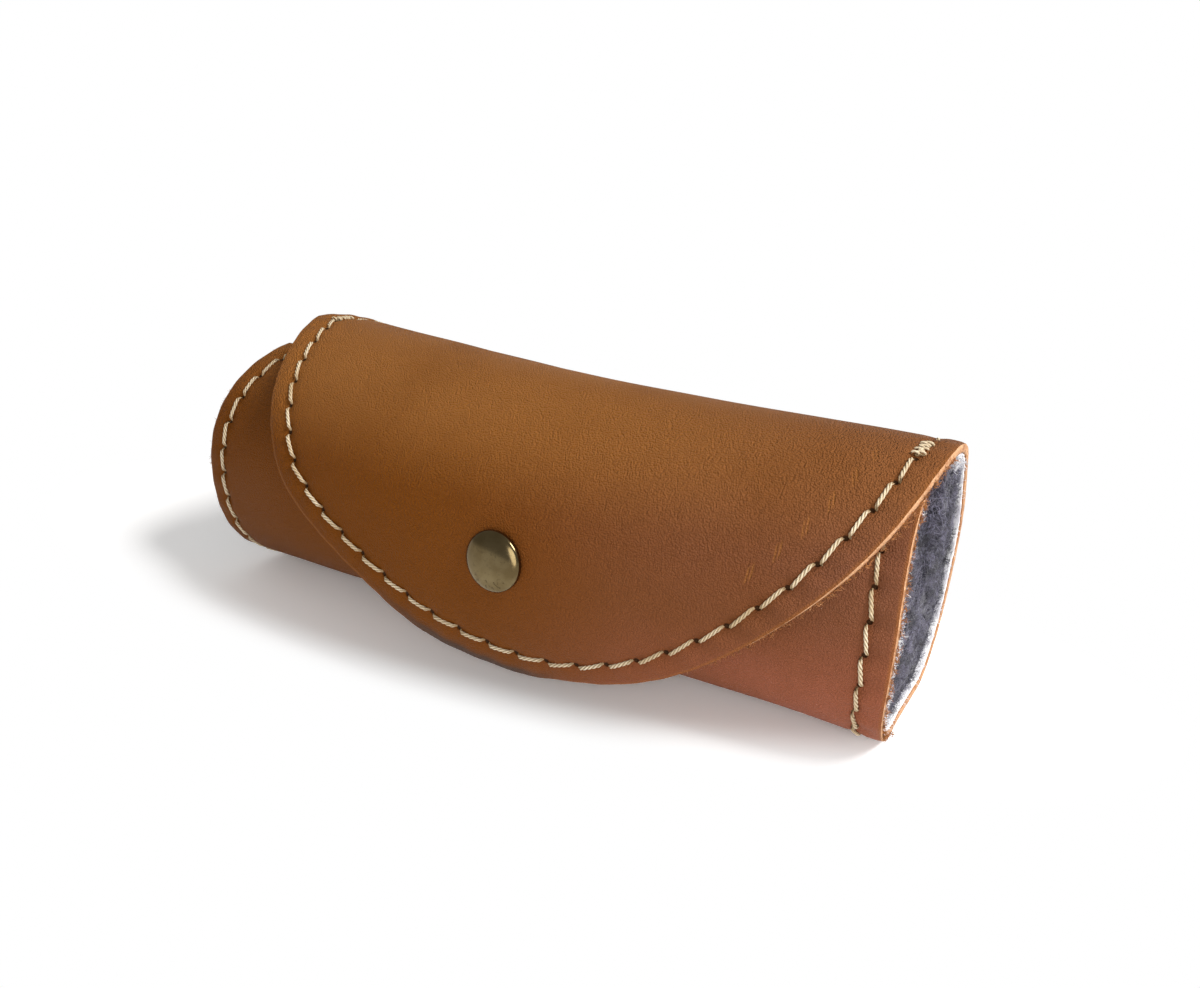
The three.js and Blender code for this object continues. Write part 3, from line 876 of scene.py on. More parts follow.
def frontWallLeather():
    turns = np.linspace(roll["frontEnd"], roll["join"], wallGrid["rows"])
    left, right = bodyEnds(turns)
    width = right - left
    inside = np.linspace(0, 1, wallGrid["columns"])[1:-1]
    fromLeft = np.concatenate(
        [
            np.broadcast_to(edgeSteps, (len(turns), len(edgeSteps))),
            edgeSteps[-1] + (width[:, None] - 2 * edgeSteps[-1]) * inside[None],
            width[:, None] - edgeSteps[None, ::-1],
        ],
        axis=1,
    )
    edges = np.minimum(fromLeft, width[:, None] - fromLeft)
    ways = (np.full(len(turns), seam["inset"]), width - seam["inset"])
    sideRuns = [runLength(bodyPoint(way, turns, 0)) / seam["pitch"] for way in ways]
    runs = np.where(fromLeft < width[:, None] / 2, sideRuns[0][:, None], sideRuns[1][:, None])
    outer, inner = hideFaces(lambda inset: bodyPoint(fromLeft, turns[:, None], inset), runs, edges)
    index = np.arange(fromLeft.size).reshape(fromLeft.shape)
    faces, corners = gridFaces(index, np.stack([runs, edges / seam["inset"]], axis=-1))
    outer, inner = outer.reshape(-1, 3), inner.reshape(-1, 3)
    piece = makeHide("frontWallLeather", outer, inner, faces, corners, hideMaterials)
    return piece, sideRuns, turns


upperHide, flapSeam, backRuns, backTurns = backAndFlapLeather()
frontHide, frontRuns, frontTurns = frontWallLeather()
print("leather made:", len(upperHide.data.polygons) + len(frontHide.data.polygons), "faces")


# Geometry Nodes
def makeTree(name, inputs):
    return newGroup(name, "GeometryNodeTree", {"Geometry": "Geometry", **inputs}, {"Geometry": "Geometry"})


def named(tree, name):
    node = put(tree, "GeometryNodeInputNamedAttribute", {"Name": name}, data_type="FLOAT_VECTOR")
    return node.outputs["Attribute"]


def randomVector(tree, low, high, seed):
    inputs = {"Min": low, "Max": high, "Seed": seed}
    return put(tree, "FunctionNodeRandomValue", inputs, data_type="FLOAT_VECTOR").outputs["Value"]


def anyWay(tree, seed):
    return randomVector(tree, (-1, -1, -1), (1, 1, 1), seed)


def aligned(vector, inputs=None, **settings):
    inputs = {"Vector": vector, **(inputs or {})}
    return put(vector.id_data, "FunctionNodeAlignRotationToVector", inputs, **settings).outputs[0]


def turnedBy(rotation, angles):
    tree = rotation.id_data
    turn = put(tree, "FunctionNodeEulerToRotation", {0: angles}).outputs[0]
    inputs = {"Rotation": rotation, "Rotate By": turn}
    return put(tree, "FunctionNodeRotateRotation", inputs, rotation_space="LOCAL").outputs[0]


def instanced(tree, points, source, rotation, scale, material, result):
    shape = put(tree, "GeometryNodeObjectInfo", {"Object": source}).outputs["Geometry"]
    inputs = {"Points": points, "Instance": shape, "Rotation": rotation, "Scale": scale}
    placed = put(tree, "GeometryNodeInstanceOnPoints", inputs).outputs["Instances"]
    real = put(tree, "GeometryNodeRealizeInstances", {"Geometry": placed}).outputs["Geometry"]
    painted = put(tree, "GeometryNodeSetMaterial", {"Geometry": real, "Material": material})
    feed(result["Geometry"], painted.outputs["Geometry"])


# One stitch on each point of a run, lying along it and leaning a little
def makeStitchTree():
    inputs = {"Stitch": "Object", "Slant": 0.13, "Sway": 0.05, "Seed": 5, "Thread": "Material"}
    tree, given, result = makeTree("seamStitches", inputs)
    lying = aligned(named(tree, "alongRun"), axis="X")
    upright = aligned(named(tree, "outward"), {"Rotation": lying}, axis="Z", pivot_axis="X")
    lean = scaled(split(anyWay(tree, given["Seed"]))[0], given["Sway"], given["Slant"])
    rotation = turnedBy(upright, put(tree, "ShaderNodeCombineXYZ", {"Z": lean}).outputs[0])
    scale = randomVector(tree, (0.95, 0.94, 0.92), (1.03, 1.06, 1.08), given["Seed"])
    instanced(tree, given["Geometry"], given["Stitch"], rotation, scale, given["Thread"], result)
    return tree


# One of the source on each point, turned to its aim, spun by chance and sized between the limits
def scattered(given, points, source, aim, seed, share, result):
    tree = aim.id_data
    rotation = turnedBy(aligned(aim, axis="Z"), randomVector(tree, (0, 0, 0), (0, 0, fullTurn), seed))
    size = scaled(share, calc("SUBTRACT", given["Largest"], given["Smallest"]), given["Smallest"])
    instanced(tree, points, source, rotation, size, given["Finish"], result)


fullTurn = 6.28
seedSteps = {"fuzzLean": 11.0, "fuzzSpin": 23.0, "tuftSpin": 17.0}


def seedAfter(given, use):
    return calc("ADD", given["Seed"], seedSteps[use])


# Loose fibres along a path, pointing out from it with some spread
def makeFuzzTree():
    inputs = {
        "Fibre": "Object", "Spacing": 0.0005, "Scatter": 0.0003, "Spread": 0.8,
        "Smallest": 0.4, "Largest": 1.2, "Seed": 3, "Finish": "Material",
    }
    tree, given, result = makeTree("edgeFuzz", inputs)
    path = put(tree, "GeometryNodeMeshToCurve", {"Mesh": given["Geometry"]}).outputs["Curve"]
    steps = {"Curve": path, "Length": given["Spacing"]}
    even = put(tree, "GeometryNodeResampleCurve", steps, mode="LENGTH").outputs["Curve"]
    points = put(tree, "GeometryNodeCurveToPoints", {"Curve": even}, mode="EVALUATED").outputs["Points"]
    jump = vectorCalc("SCALE", anyWay(tree, given["Seed"]), given["Scatter"])
    points = put(tree, "GeometryNodeSetPosition", {"Geometry": points, "Offset": jump}).outputs["Geometry"]
    lean = vectorCalc("SCALE", anyWay(tree, seedAfter(given, "fuzzLean")), given["Spread"])
    aim = vectorCalc("ADD", named(tree, "outward"), lean)
    seed = seedAfter(given, "fuzzSpin")
    share = calc("POWER", split(randomVector(tree, (0, 0, 0), (1, 1, 1), seed))[0], 2.0)
    scattered(given, points, given["Fibre"], aim, seed, share, result)
    return tree


# Tufts over a surface, combed by its own attribute
def makeTuftTree():
    inputs = {
        "Tuft": "Object", "Per area": 900000.0, "Spread": 0.7,
        "Smallest": 0.7, "Largest": 1.3, "Seed": 8, "Finish": "Material",
    }
    tree, given, result = makeTree("woolTufts", inputs)
    over = {"Mesh": given["Geometry"], "Density": given["Per area"], "Seed": given["Seed"]}
    spread = put(tree, "GeometryNodeDistributePointsOnFaces", over).outputs
    lean = vectorCalc("SCALE", anyWay(tree, given["Seed"]), given["Spread"])
    aim = vectorCalc("ADD", vectorCalc("ADD", spread["Normal"], lean), named(tree, "comb"))
    seed = seedAfter(given, "tuftSpin")
    share = split(randomVector(tree, (0, 0, 0), (1, 1, 1), seed))[1]
    scattered(given, spread["Points"], given["Tuft"], aim, seed, share, result)
    return tree


def grow(name, source, tree, settings):
    modifier = source.modifiers.new(tree.name, "NODES")
    modifier.node_group = tree
    for item in tree.interface.items_tree:
        if item.in_out == "INPUT" and item.name in settings:
            modifier[item.identifier] = settings[item.name]
    seen = source.evaluated_get(bpy.context.evaluated_depsgraph_get())
    mesh = bpy.data.meshes.new_from_object(seen)
    mesh.name = name
    smooth(mesh)
    source.modifiers.remove(modifier)
    return addObject(name, mesh)


def drop(*pieces):
    for piece in pieces:
        bpy.data.objects.remove(piece, do_unlink=True)


# Faces between neighbouring rings of points
def ringFaces(rings, sides):
    return [
        (i * sides + j, i * sides + k, (i + 1) * sides + k, (i + 1) * sides + j)
        for i in range(rings - 1)
        for j, k in ((j, (j + 1) % sides) for j in range(sides))
    ]


# A tube along a line, given in millimetres
def tubeAlong(line, radii, sides):
    line = np.asarray(line, float)
    tangent = unit(np.gradient(line, axis=0))
    helper = np.where(np.abs(tangent[:, 2:]) < 0.9, (0.0, 0.0, 1.0), (1.0, 0.0, 0.0))
    first = unit(np.cross(tangent, helper))
    second = np.cross(tangent, first)
    turn = np.linspace(0, 2 * np.pi, sides, endpoint=False)
    radii = np.broadcast_to(radii, len(line))
    ring = first[:, None] * np.cos(turn)[None, :, None] + second[:, None] * np.sin(turn)[None, :, None]
    points = (line[:, None] + ring * radii[:, None, None]).reshape(-1, 3)
    ends = [tuple(range(sides))[::-1], tuple(range((len(line) - 1) * sides, len(line) * sides))]
    return points, ringFaces(len(line), sides) + ends


def joinTubes(tubes):
    vertices, faces = [], []
    for points, around in tubes:
        start = sum(len(v) for v in vertices)
        vertices.append(points)
        faces += [tuple(i + start for i in f) for f in around]
    return np.concatenate(vertices), faces


# Stitches: three plies twisted together, with both ends going down into their holes
stitch = {
    "length": 6.2,
    "rise": 0.22,
    "sink": 1.6,
    "plies": 3,
    "plyRadius": 0.2,
    "plyOffset": 0.215,
    "twists": 1.9,
    "points": 19,
    "sides": 6,
    "sinkPower": 8,
    "slimmer": 0.4,  # towards the holes
    "slimPower": 4,
    "crownFrom": 0.35,
}


def makeStitch(plan):
    share = np.linspace(-1, 1, plan["points"])
    rise = plan["rise"] - plan["sink"] * np.abs(share) ** plan["sinkPower"]
    middle = np.stack([share * plan["length"] / 2, 0 * share, rise], axis=-1)
    slim = 1 - plan["slimmer"] * share ** plan["slimPower"]
    tubes = []
    for ply in range(plan["plies"]):
        turn = 2 * np.pi * (ply / plan["plies"] - plan["twists"] * share / 2)
        swing = plan["plyOffset"] * slim[:, None] * np.stack([0 * share, np.cos(turn), np.sin(turn)], axis=-1)
        tubes.append(tubeAlong(middle + swing, plan["plyRadius"] * slim, plan["sides"]))
    points, faces = joinTubes(tubes)
    piece = makeObject("oneStitch", points / 1000, faces)
    # how far each point stands out from the thread's middle, so that a painted shade can darken the grooves
    # between the plies
    axis = np.tile(np.repeat(middle, plan["sides"], axis=0), (plan["plies"], 1))
    out = np.linalg.norm((points - axis)[:, 1:], axis=-1) / (plan["plyRadius"] + plan["plyOffset"])
    addFloats(piece, crown=(out - plan["crownFrom"]) / (1 - plan["crownFrom"]))
    return piece


def seamPlaces(pointAt, run, wanted, depth):
    surface, below = pointAt(depth), pointAt(depth + 1.0)
    step = 0.25  # of a stitch, to either side

    def pick(points, where):
        return np.stack([np.interp(where, run, points[:, k]) for k in range(3)], axis=-1)

    tangent = unit(pick(surface, wanted + step) - pick(surface, wanted - step))
    outward = pick(surface, wanted) - pick(below, wanted)
    outward = unit(outward - tangent * np.sum(outward * tangent, axis=-1, keepdims=True))
    return pick(surface, wanted), tangent, outward


threadDepth = seam["dip"] * (1 - seam["pucker"])


def flapRun(depth):
    line = flapSeam["line"]
    return flapPoint(line[:, 0], line[:, 1], depth)


# A line at one end of the body, so far in from its cut edge and from its outer face
def rimLine(turns, atRight, end, inset):
    left, right = bodyEnds(turns)
    where = right - left - end if atRight else np.full(len(turns), end)
    return bodyPoint(where, turns, inset)


def sideRun(turns, atRight):
    return lambda depth: rimLine(turns, atRight, seam["inset"], depth)


def holesBetween(run, skips):
    skipFirst, skipLast = skips
    low, high = min(run[0], run[-1]), max(run[0], run[-1])
    return np.arange(math.ceil(low + skipFirst - 0.5) + 0.5, high - skipLast, 1.0)


stitchTree = makeStitchTree()
oneStitch = makeStitch(stitch)
stitchSettings = {"Stitch": oneStitch, "Slant": 0.13, "Sway": 0.05, "Seed": 5, "Thread": waxedThread}


def stitchPiece(name, runs):
    places, tangents, outwards = (np.concatenate(parts) for parts in zip(*runs))
    points = makeObject(name + "Points", metres(places), [])
    addVectors(points, alongRun=tangents, outward=outwards)
    piece = grow(name, points, stitchTree, stitchSettings)
    drop(points)
    return piece


flapHoles = np.arange(0.5, flapSeam["stitches"] - 1, 1.0)
upperRuns = [seamPlaces(flapRun, flapSeam["run"], flapHoles, threadDepth)]
frontSideRuns = []
for atRight in (False, True):
    run = backRuns[int(atRight)]
    wanted = holesBetween(run, seam["backSkips"])
    backSide = sideRun(backTurns[::-1], atRight)
    upperRuns.append(seamPlaces(backSide, run[::-1], wanted, threadDepth + seam["backPull"]))
    run = frontRuns[int(atRight)]
    wanted = holesBetween(run, seam["frontSkips"])
    frontSideRuns.append(seamPlaces(sideRun(frontTurns, atRight), run, wanted, threadDepth))
upperThread = stitchPiece("backAndFlapStitches", upperRuns)
frontThread = stitchPiece("frontWallStitches", frontSideRuns)
drop(oneStitch)

# Bar tacks: a thread wound over itself where the flap's seam starts and ends
tack = {
    "length": 5.2,
    "half": 0.62,
    "height": 0.42,
    "turns": 10,
    "perTurn": 12,
    "radius": 0.21,
    "sides": 6,
    "wander": 0.55,
    "wanderRate": 0.37,
    "wanderStart": 1.0,
    "sunk": 0.6,  # of the thread's depth
    "leftMiddle": 0.45,  # stitches from the fold
    "rightMiddle": 0.5,
}


def makeTack(name, pointAt, run, middleRun, plan):
    spot = seamPlaces(pointAt, run, np.array([middleRun]), threadDepth * plan["sunk"])
    place, tangent, outward = (v[0] for v in spot)
    across = np.cross(outward, tangent)
    t = np.linspace(0, 1, plan["turns"] * plan["perTurn"] + 1)
    turn = 2 * np.pi * plan["turns"] * t
    wander = plan["wander"] * np.sin(turn * plan["wanderRate"] + plan["wanderStart"])
    line = (
        place
        + tangent * ((t - 0.5) * plan["length"])[:, None]
        + across * (plan["half"] * np.cos(turn) + wander)[:, None]
        + outward * (plan["height"] * np.sin(turn))[:, None]
    )
    points, faces = tubeAlong(line, plan["radius"], plan["sides"])
    piece = makeObject(name, metres(points), faces, (waxedThread,))
    # painted shade where the tack's windings dip under
    addFloats(piece, crown=np.repeat(0.55 + 0.45 * np.sin(turn), plan["sides"]))
    smooth(piece.data)
    return piece


leftRun = sideRun(backTurns[::-1], False)
leftTack = makeTack("leftBarTack", leftRun, backRuns[0][::-1], tack["leftMiddle"], tack)
rightMiddle = flapSeam["stitches"] - tack["rightMiddle"]
rightTack = makeTack("rightBarTack", flapRun, flapSeam["run"], rightMiddle, tack)
print("thread made:", len(upperThread.data.polygons) + len(frontThread.data.polygons), "faces")

# Lining: the white pelt, and the wool that fills the roll
lining = {
    "backTurns": (231.0, 455.0),
    "frontTurns": (113.0, 225.0),
    "backWoolTurns": (231.0, 460.0),
    "frontWoolTurns": (102.0, 225.0),
    "turnStep": 2.5,
    "width": 148.0,
    "swell": 0.15,
    "peltFrom": 1.95,
    "peltEnd": 0.3,  # mm short of the leather's cut ends
    "peltSteps": (0, 1, 3),
    "peltColumns": 36,
    "woolTurnRound": 16.0,  # degrees in which the pile rounds off at the sheet's own ends
    "woolLip": 3.2,
    "woolFrom": 2.6,
    "woolEnd": 0.7,
    "woolSteps": (0, 0.5, 1.4, 2.8, 4.5, 7, 10),
    "woolColumns": 60,
    "woolRound": 4.0,
    "woolShrink": 2.0,
    "woolFuller": 5.5,  # the pile spreads towards the middle at the open ends
    "woolReach": 10.0,
    "lumps": 1.8,
    "lumpSize": 8.0,
    "fineLumps": 0.6,
    "fineLumpSize": 3.0,
    "endLumpSize": 6.0,
    "pileOut": 2.05,  # the fibres lie over the pelt's cut end as far as this
    "pileSoftness": 1.3,
    "shorn": 0.05,  # they stay so far inside the leather's ends
    "shornSoftness": 1.0,
    "skinDeeper": 0.8,
}


def liningSheet(name, turns, top, bottom, columns, material, uneven=None):
    left, right = bodyEnds(turns)
    width = (right - left)[:, None]
    fromLeft = columns[None] + (columns[None] < 0) * width
    index = np.arange(fromLeft.size).reshape(fromLeft.shape)
    outer = bodyPoint(fromLeft, turns[:, None], top)
    inner = bodyPoint(fromLeft, turns[:, None], bottom)
    if uneven:
        inner = uneven(outer, inner)
    faces, corners = gridFaces(index, np.zeros((*index.shape, 2)))
    outer, inner = outer.reshape(-1, 3), inner.reshape(-1, 3)
    return makeHide(name, outer, inner, faces, corners, (material,) * 3, swell=lining["swell"])


# Columns are counted from the left end, and below zero from the right end
def columnsFrom(end, steps, middle):
    width = lining["width"]
    edge = end + np.asarray(steps, float)
    inside = np.linspace(edge[-1], width - edge[-1], middle)[1:-1]
    onLeft = inside <= width / 2
    return np.concatenate([edge, inside[onLeft], inside[~onLeft] - width, -edge[::-1]])


def turnsOver(span):
    return np.linspace(*span, int((span[1] - span[0]) / lining["turnStep"]))


def peltPiece(name, span):
    columns = columnsFrom(lining["peltEnd"], lining["peltSteps"], lining["peltColumns"])
    top = lining["peltFrom"]
    return liningSheet(name, turnsOver(span), top, top + roll["pelt"], columns, whitePelt)


def woolPiece(name, span, seed, roundFirst):
    turns = turnsOver(span)
    columns = columnsFrom(lining["woolEnd"], lining["woolSteps"], lining["woolColumns"])
    depth = np.minimum(np.abs(columns) - lining["woolEnd"], lining["woolRound"]) / lining["woolRound"]
    shrink = (1 - np.sqrt(1 - (1 - depth) ** 2)) * lining["woolShrink"]
    fuller = lining["woolFuller"] * bell(np.abs(columns), lining["woolEnd"], lining["woolReach"])
    fromEnd = turns - span[0] if roundFirst else span[1] - turns
    plump = np.sqrt(1 - (1 - np.clip((fromEnd + 1) / lining["woolTurnRound"], 0, 1)) ** 2)
    top = lining["woolFrom"] + lining["woolLip"] * (1 - plump)[:, None]
    bottom = top + (roll["wool"] + (fuller - shrink)[None, :]) * plump[:, None]

    def uneven(outer, inner):
        lump = lining["lumps"] * waver(inner, lining["lumpSize"], seed)
        lump = lump + lining["fineLumps"] * waver(inner, lining["fineLumpSize"], seed + 5)
        inner = inner + unit(outer - inner) * lump[..., None]
        atEnd = lining["lumps"] * waver(inner, lining["endLumpSize"], seed + 9)
        inner[..., 0] += atEnd * (1 - depth)[None, :] ** 0.5
        return inner

    return liningSheet(name, turns, top, bottom, columns, woolBed, uneven)


backPelt = peltPiece("backPelt", lining["backTurns"])
frontPelt = peltPiece("frontPelt", lining["frontTurns"])
backWool = woolPiece("backWool", lining["backWoolTurns"], 2, False)
frontWool = woolPiece("frontWool", lining["frontWoolTurns"], 4, True)


clumpShape = {"curlUp": 0.3, "lengths": (0.6, 1.1), "bend": 1.5, "taper": 0.75, "sides": 3}


# A small clump of curled fibres, standing on its root
def makeClump(name, plan):
    sides = clumpShape["sides"]
    chance = np.random.default_rng(plan["seed"])
    tubes = []
    t = np.linspace(0, 1, plan["points"])
    for _ in range(plan["fibres"]):
        root = chance.normal(0, plan["foot"], 3) * (1, 1, 0)
        lean = chance.normal(0, plan["lean"], 3) * (1, 1, 0)
        curl = chance.normal(0, plan["curl"], 3) * (1, 1, clumpShape["curlUp"])
        phase = chance.uniform(0, fullTurn)
        length = plan["length"] * chance.uniform(*clumpShape["lengths"])
        line = root + np.outer(t, (0, 0, length)) + np.outer(t ** clumpShape["bend"], lean)
        line = line + np.outer(np.sin(plan["waves"] * np.pi * t + phase) - math.sin(phase), curl)
        tubes.append(tubeAlong(line, plan["radius"] * (1 - clumpShape["taper"] * t), sides))
    points, faces = joinTubes(tubes)
    clump = makeObject(name, points / 1000, faces)
    addFloats(clump, tip=np.tile(np.repeat(t, sides), plan["fibres"]))
    return clump


woolTuft = {
    "fibres": 4, "points": 5, "length": 3.4, "foot": 0.6, "lean": 1.2,
    "curl": 0.65, "waves": 2.6, "radius": 0.07, "seed": 3,
}
peltFibre = {
    "fibres": 5, "points": 4, "length": 0.75, "foot": 0.26, "lean": 0.4,
    "curl": 0.22, "waves": 1.6, "radius": 0.065, "seed": 6,
}
hideFibre = {
    "fibres": 4, "points": 4, "length": 0.75, "foot": 0.18, "lean": 0.45,
    "curl": 0.26, "waves": 1.9, "radius": 0.08, "seed": 9,
}
tuftTree = makeTuftTree()
fuzzTree = makeFuzzTree()
oneTuft = makeClump("oneTuft", woolTuft)

woolCore = (0.0, 9.3, 27.1)  # mm in the frame, the middle of the open core
tufts = {
    "endReach": 16.0,  # mm of the roll's ends where they stand close
    "lipTurns": (90, roll["frontEnd"] + 14),  # here the pile's outer side shows too
    "spread": 0.5,
    "endSizes": (0.6, 1.25),
    "middleSizes": (1.2, 1.9),
    "perArea": {1: 700000.0, 0: 140000.0, -1: 420000.0},  # at the right, in the middle and at the left
    "comb": 3.0,
    "combSize": 4.5,
    "combSeeds": (20, 30, 40),
    "inside": (0.1, 0.8),
    "lipComb": 0.35,  # upright on the lips
    "toCore": 0.35,  # laid over towards the middle elsewhere
    "laidOver": 0.6,
}


# The wool's own skin, on which the tufts stand: near the left end, in the middle or near the right end
def tuftSkin(source, part):
    piece = addObject(source.name, source.data.copy())
    middleX = roll["boxMiddle"][0] / 1000
    limit = (roll["halfLength"] - tufts["endReach"]) / 1000
    lipStart, lipEnd = tufts["lipTurns"]

    def isBare(face):
        centre = face.calc_center_median()
        across = (centre.x - middleX) / limit
        here = across * part > 1 if part else abs(across) <= 1
        turn = math.degrees(math.atan2(centre.z * 1000 - woolCore[2], centre.y * 1000 - woolCore[1]))
        covered = face.material_index == 0 and not lipStart < turn < lipEnd
        return covered or not here

    def keepTufted(skin):
        bmesh.ops.delete(skin, geom=[face for face in skin.faces if isBare(face)], context="FACES")

    reshape(piece.data, keepTufted)
    points = np.array([v.co for v in piece.data.vertices])
    normals = np.array([v.normal for v in piece.data.vertices])
    comb = [waver(points * 1000, tufts["combSize"], seed) for seed in tufts["combSeeds"]]
    comb = np.stack(comb, axis=-1) * tufts["comb"]
    comb -= normals * np.sum(comb * normals, axis=-1, keepdims=True)
    toCore = unit((np.array(woolCore) / 1000 - points) * (0, 1, 1))
    inward = np.sum(toCore * normals, axis=-1) + np.abs(normals[:, 0])
    inside = ease(inward, *tufts["inside"])[:, None]
    comb *= tufts["lipComb"] + (1 - tufts["lipComb"]) * inside
    comb += inside * (toCore * tufts["toCore"] - normals * tufts["laidOver"])
    addVectors(piece, comb=comb)
    return piece


# The room left before a wall, where fibres that would reach the wall bend away softly
def pressed(room, soft):
    return np.where(room < soft, soft * np.exp((np.minimum(room, soft) - soft) / soft), room)


# The pile is shorn to end inside the leather's own end. Angles below the wrap belong to the last turn.
def trimPile(piece, part, wrap, deeper=0.0):
    points = np.array([v.co for v in piece.data.vertices]) * 1000 - np.array(roll["boxMiddle"])
    share = np.full(len(points), float(part)) if part else np.clip(points[:, 0] / roll["halfLength"], -1, 1)
    middle = np.zeros_like(points)
    middle[:, 1] = along(share, roll["middleY"])
    middle[:, 2] = woolCore[2]
    spoke = (points - middle) * (0, 1, 1)
    angle = np.degrees(np.arctan2(spoke[:, 2], spoke[:, 1])) % 360
    angle = np.where(angle < wrap, angle + 360, angle)
    if not deeper:
        skin = (rollPoint(share, points[:, 0], angle, lining["pileOut"]) - middle) * (0, 1, 1)
        far, reach = np.linalg.norm(spoke, axis=-1), np.linalg.norm(skin, axis=-1)
        points = points - spoke * (1 - (reach - pressed(reach - far, lining["pileSoftness"])) / far)[:, None]
    if part:
        ends = bodyEnds(angle)[(part + 1) // 2]
        kept = lining["shorn"] + deeper
        short = pressed((ends - points[:, 0]) * part - kept, lining["shornSoftness"] + deeper)
        points[:, 0] = ends - (short + kept) * part
    piece.data.vertices.foreach_set("co", metres(points).astype(np.float32).reshape(-1))


def tuftPiece(name, source, part, wrap, seed):
    skin = tuftSkin(source, part)
    smallest, largest = tufts["endSizes"] if part else tufts["middleSizes"]
    settings = {
        "Tuft": oneTuft, "Per area": tufts["perArea"][part], "Spread": tufts["spread"],
        "Smallest": smallest, "Largest": largest, "Seed": seed, "Finish": greyWool,
    }
    piece = grow(name, skin, tuftTree, settings)
    drop(skin)
    trimPile(piece, part, wrap)
    return piece


woolSides = (
    {"body": "back", "wool": backWool, "wrap": 140.0, "seeds": (31, 33, 37)},
    {"body": "front", "wool": frontWool, "wrap": 50.0, "seeds": (41, 42, 43)},
)
woolTufts = {}
for plan in woolSides:
    for part in (1, -1):
        trimPile(plan["wool"], part, plan["wrap"], lining["skinDeeper"])
    for side, part, seed in zip(("Right", "Middle", "Left"), (1, 0, -1), plan["seeds"]):
        name = f"{plan['body']}Tufts{side}"
        woolTufts[plan["body"], part] = tuftPiece(name, plan["wool"], part, plan["wrap"], seed)
drop(oneTuft)


fuzzPaths = {
    "points": 120,
    "seedStep": 7,
    "pastPelt": 0.3,
    "peltInward": 0.5,
    "flapPoints": 300,
    "flapDepth": 0.85,  # of the leather's thickness
    "flapInward": 0.5,
    "cleanTo": 8,  # mm right of the tip, up to where the flap is cut clean
}


def fuzzPiece(name, paths, settings):
    whole = bmesh.new()
    for k, (line, outward) in enumerate(paths):
        edges = [(i, i + 1) for i in range(len(line) - 1)]
        path = makeObject(f"{name}Path{k}", metres(line), [], edges=edges)
        addVectors(path, outward=np.broadcast_to(outward, (len(line), 3)))
        seed = settings["Seed"] + fuzzPaths["seedStep"] * k
        part = grow(f"{name}Part{k}", path, fuzzTree, {**settings, "Seed": seed})
        whole.from_mesh(part.data)
        drop(path, part)
    mesh = bpy.data.meshes.new(name)
    whole.to_mesh(mesh)
    whole.free()
    mesh.materials.append(settings["Finish"])
    smooth(mesh)
    return addObject(name, mesh)


def fuzzLine(span, atRight, end, inset):
    return rimLine(np.linspace(*span, fuzzPaths["points"]), atRight, end, inset)


oneFibre = makeClump("oneFibre", peltFibre)
peltFuzz = {
    "Fibre": oneFibre, "Spacing": 0.00022, "Scatter": 0.00035, "Spread": 1.1,
    "Smallest": 0.4, "Largest": 1.2, "Seed": 51, "Finish": whitePelt,
}


def peltRims(span, depths, out):
    rims = []
    for side in (True, False):
        for depth in depths:
            line = fuzzLine(span, side, lining["peltEnd"] + fuzzPaths["pastPelt"], depth)
            inward = unit((np.array(woolCore) - metres(line) * 1000) * (0, 1, 1))
            aside = np.array((out if side else -out, 0, 0))
            rims.append((line, inward * fuzzPaths["peltInward"] + aside))
    return rims


topTuft = (446.0, 457.0)  # turns where the pelt's own end shows as a thick white tuft
lowRim = (158.0, 225.0)  # the white shows more down here
backPeltFuzz = fuzzPiece(
    "backPeltFuzz",
    peltRims(lining["backTurns"], (2.2,), 0.1) + peltRims(topTuft, (2.4, 3.0, 3.6, 4.2, 4.8), 0.3),
    {**peltFuzz, "Smallest": 0.3, "Largest": 0.9},
)
frontPeltFuzz = fuzzPiece(
    "frontPeltFuzz",
    peltRims(lining["frontTurns"], (2.2,), 0.3) + peltRims(lowRim, (2.5, 2.9, 3.3), 0.5),
    peltFuzz,
)
drop(oneFibre)

oneFibre = makeClump("oneFibre", hideFibre)
hideFuzz = {
    "Fibre": oneFibre, "Spacing": 0.0002, "Scatter": 0.0003, "Spread": 0.9,
    "Smallest": 0.3, "Largest": 1.35, "Seed": 71, "Finish": frayedEdge,
}


def flapEdgePath():
    outline, inward = flapOutline(fuzzPaths["flapPoints"])
    depth = roll["leather"] * fuzzPaths["flapDepth"]
    line = flapPoint(outline[:, 0], outline[:, 1], depth)
    ahead = flapPoint(outline[:, 0] - inward[:, 0], outline[:, 1] - inward[:, 1], depth)
    deeper = flapPoint(outline[:, 0], outline[:, 1], roll["leather"] + 1)
    aim = unit(unit(ahead - line) + fuzzPaths["flapInward"] * unit(deeper - line))
    frayed = outline[:, 0] > flapCut["tip"][0] + fuzzPaths["cleanTo"]
    return line[frayed], aim[frayed]


def hideRims(span, end, inset):
    return [(fuzzLine(span, side, end, inset), (1.0 if side else -1.0, 0, 0)) for side in (True, False)]


flapFuzz = fuzzPiece("flapEdgeFuzz", [flapEdgePath()], hideFuzz)
frontFuzz = fuzzPiece("frontEdgeFuzz", hideRims((roll["frontEnd"] + 1, 246.0), 0.0, 1.2), hideFuzz)
backFuzz = fuzzPiece(
    "backEdgeFuzz",
    hideRims((276.0, 455.0), 0.3, 1.5),
    {**hideFuzz, "Spacing": 0.0012, "Spread": 0.5, "Largest": 0.45},
)
drop(oneFibre)
print("lining made")

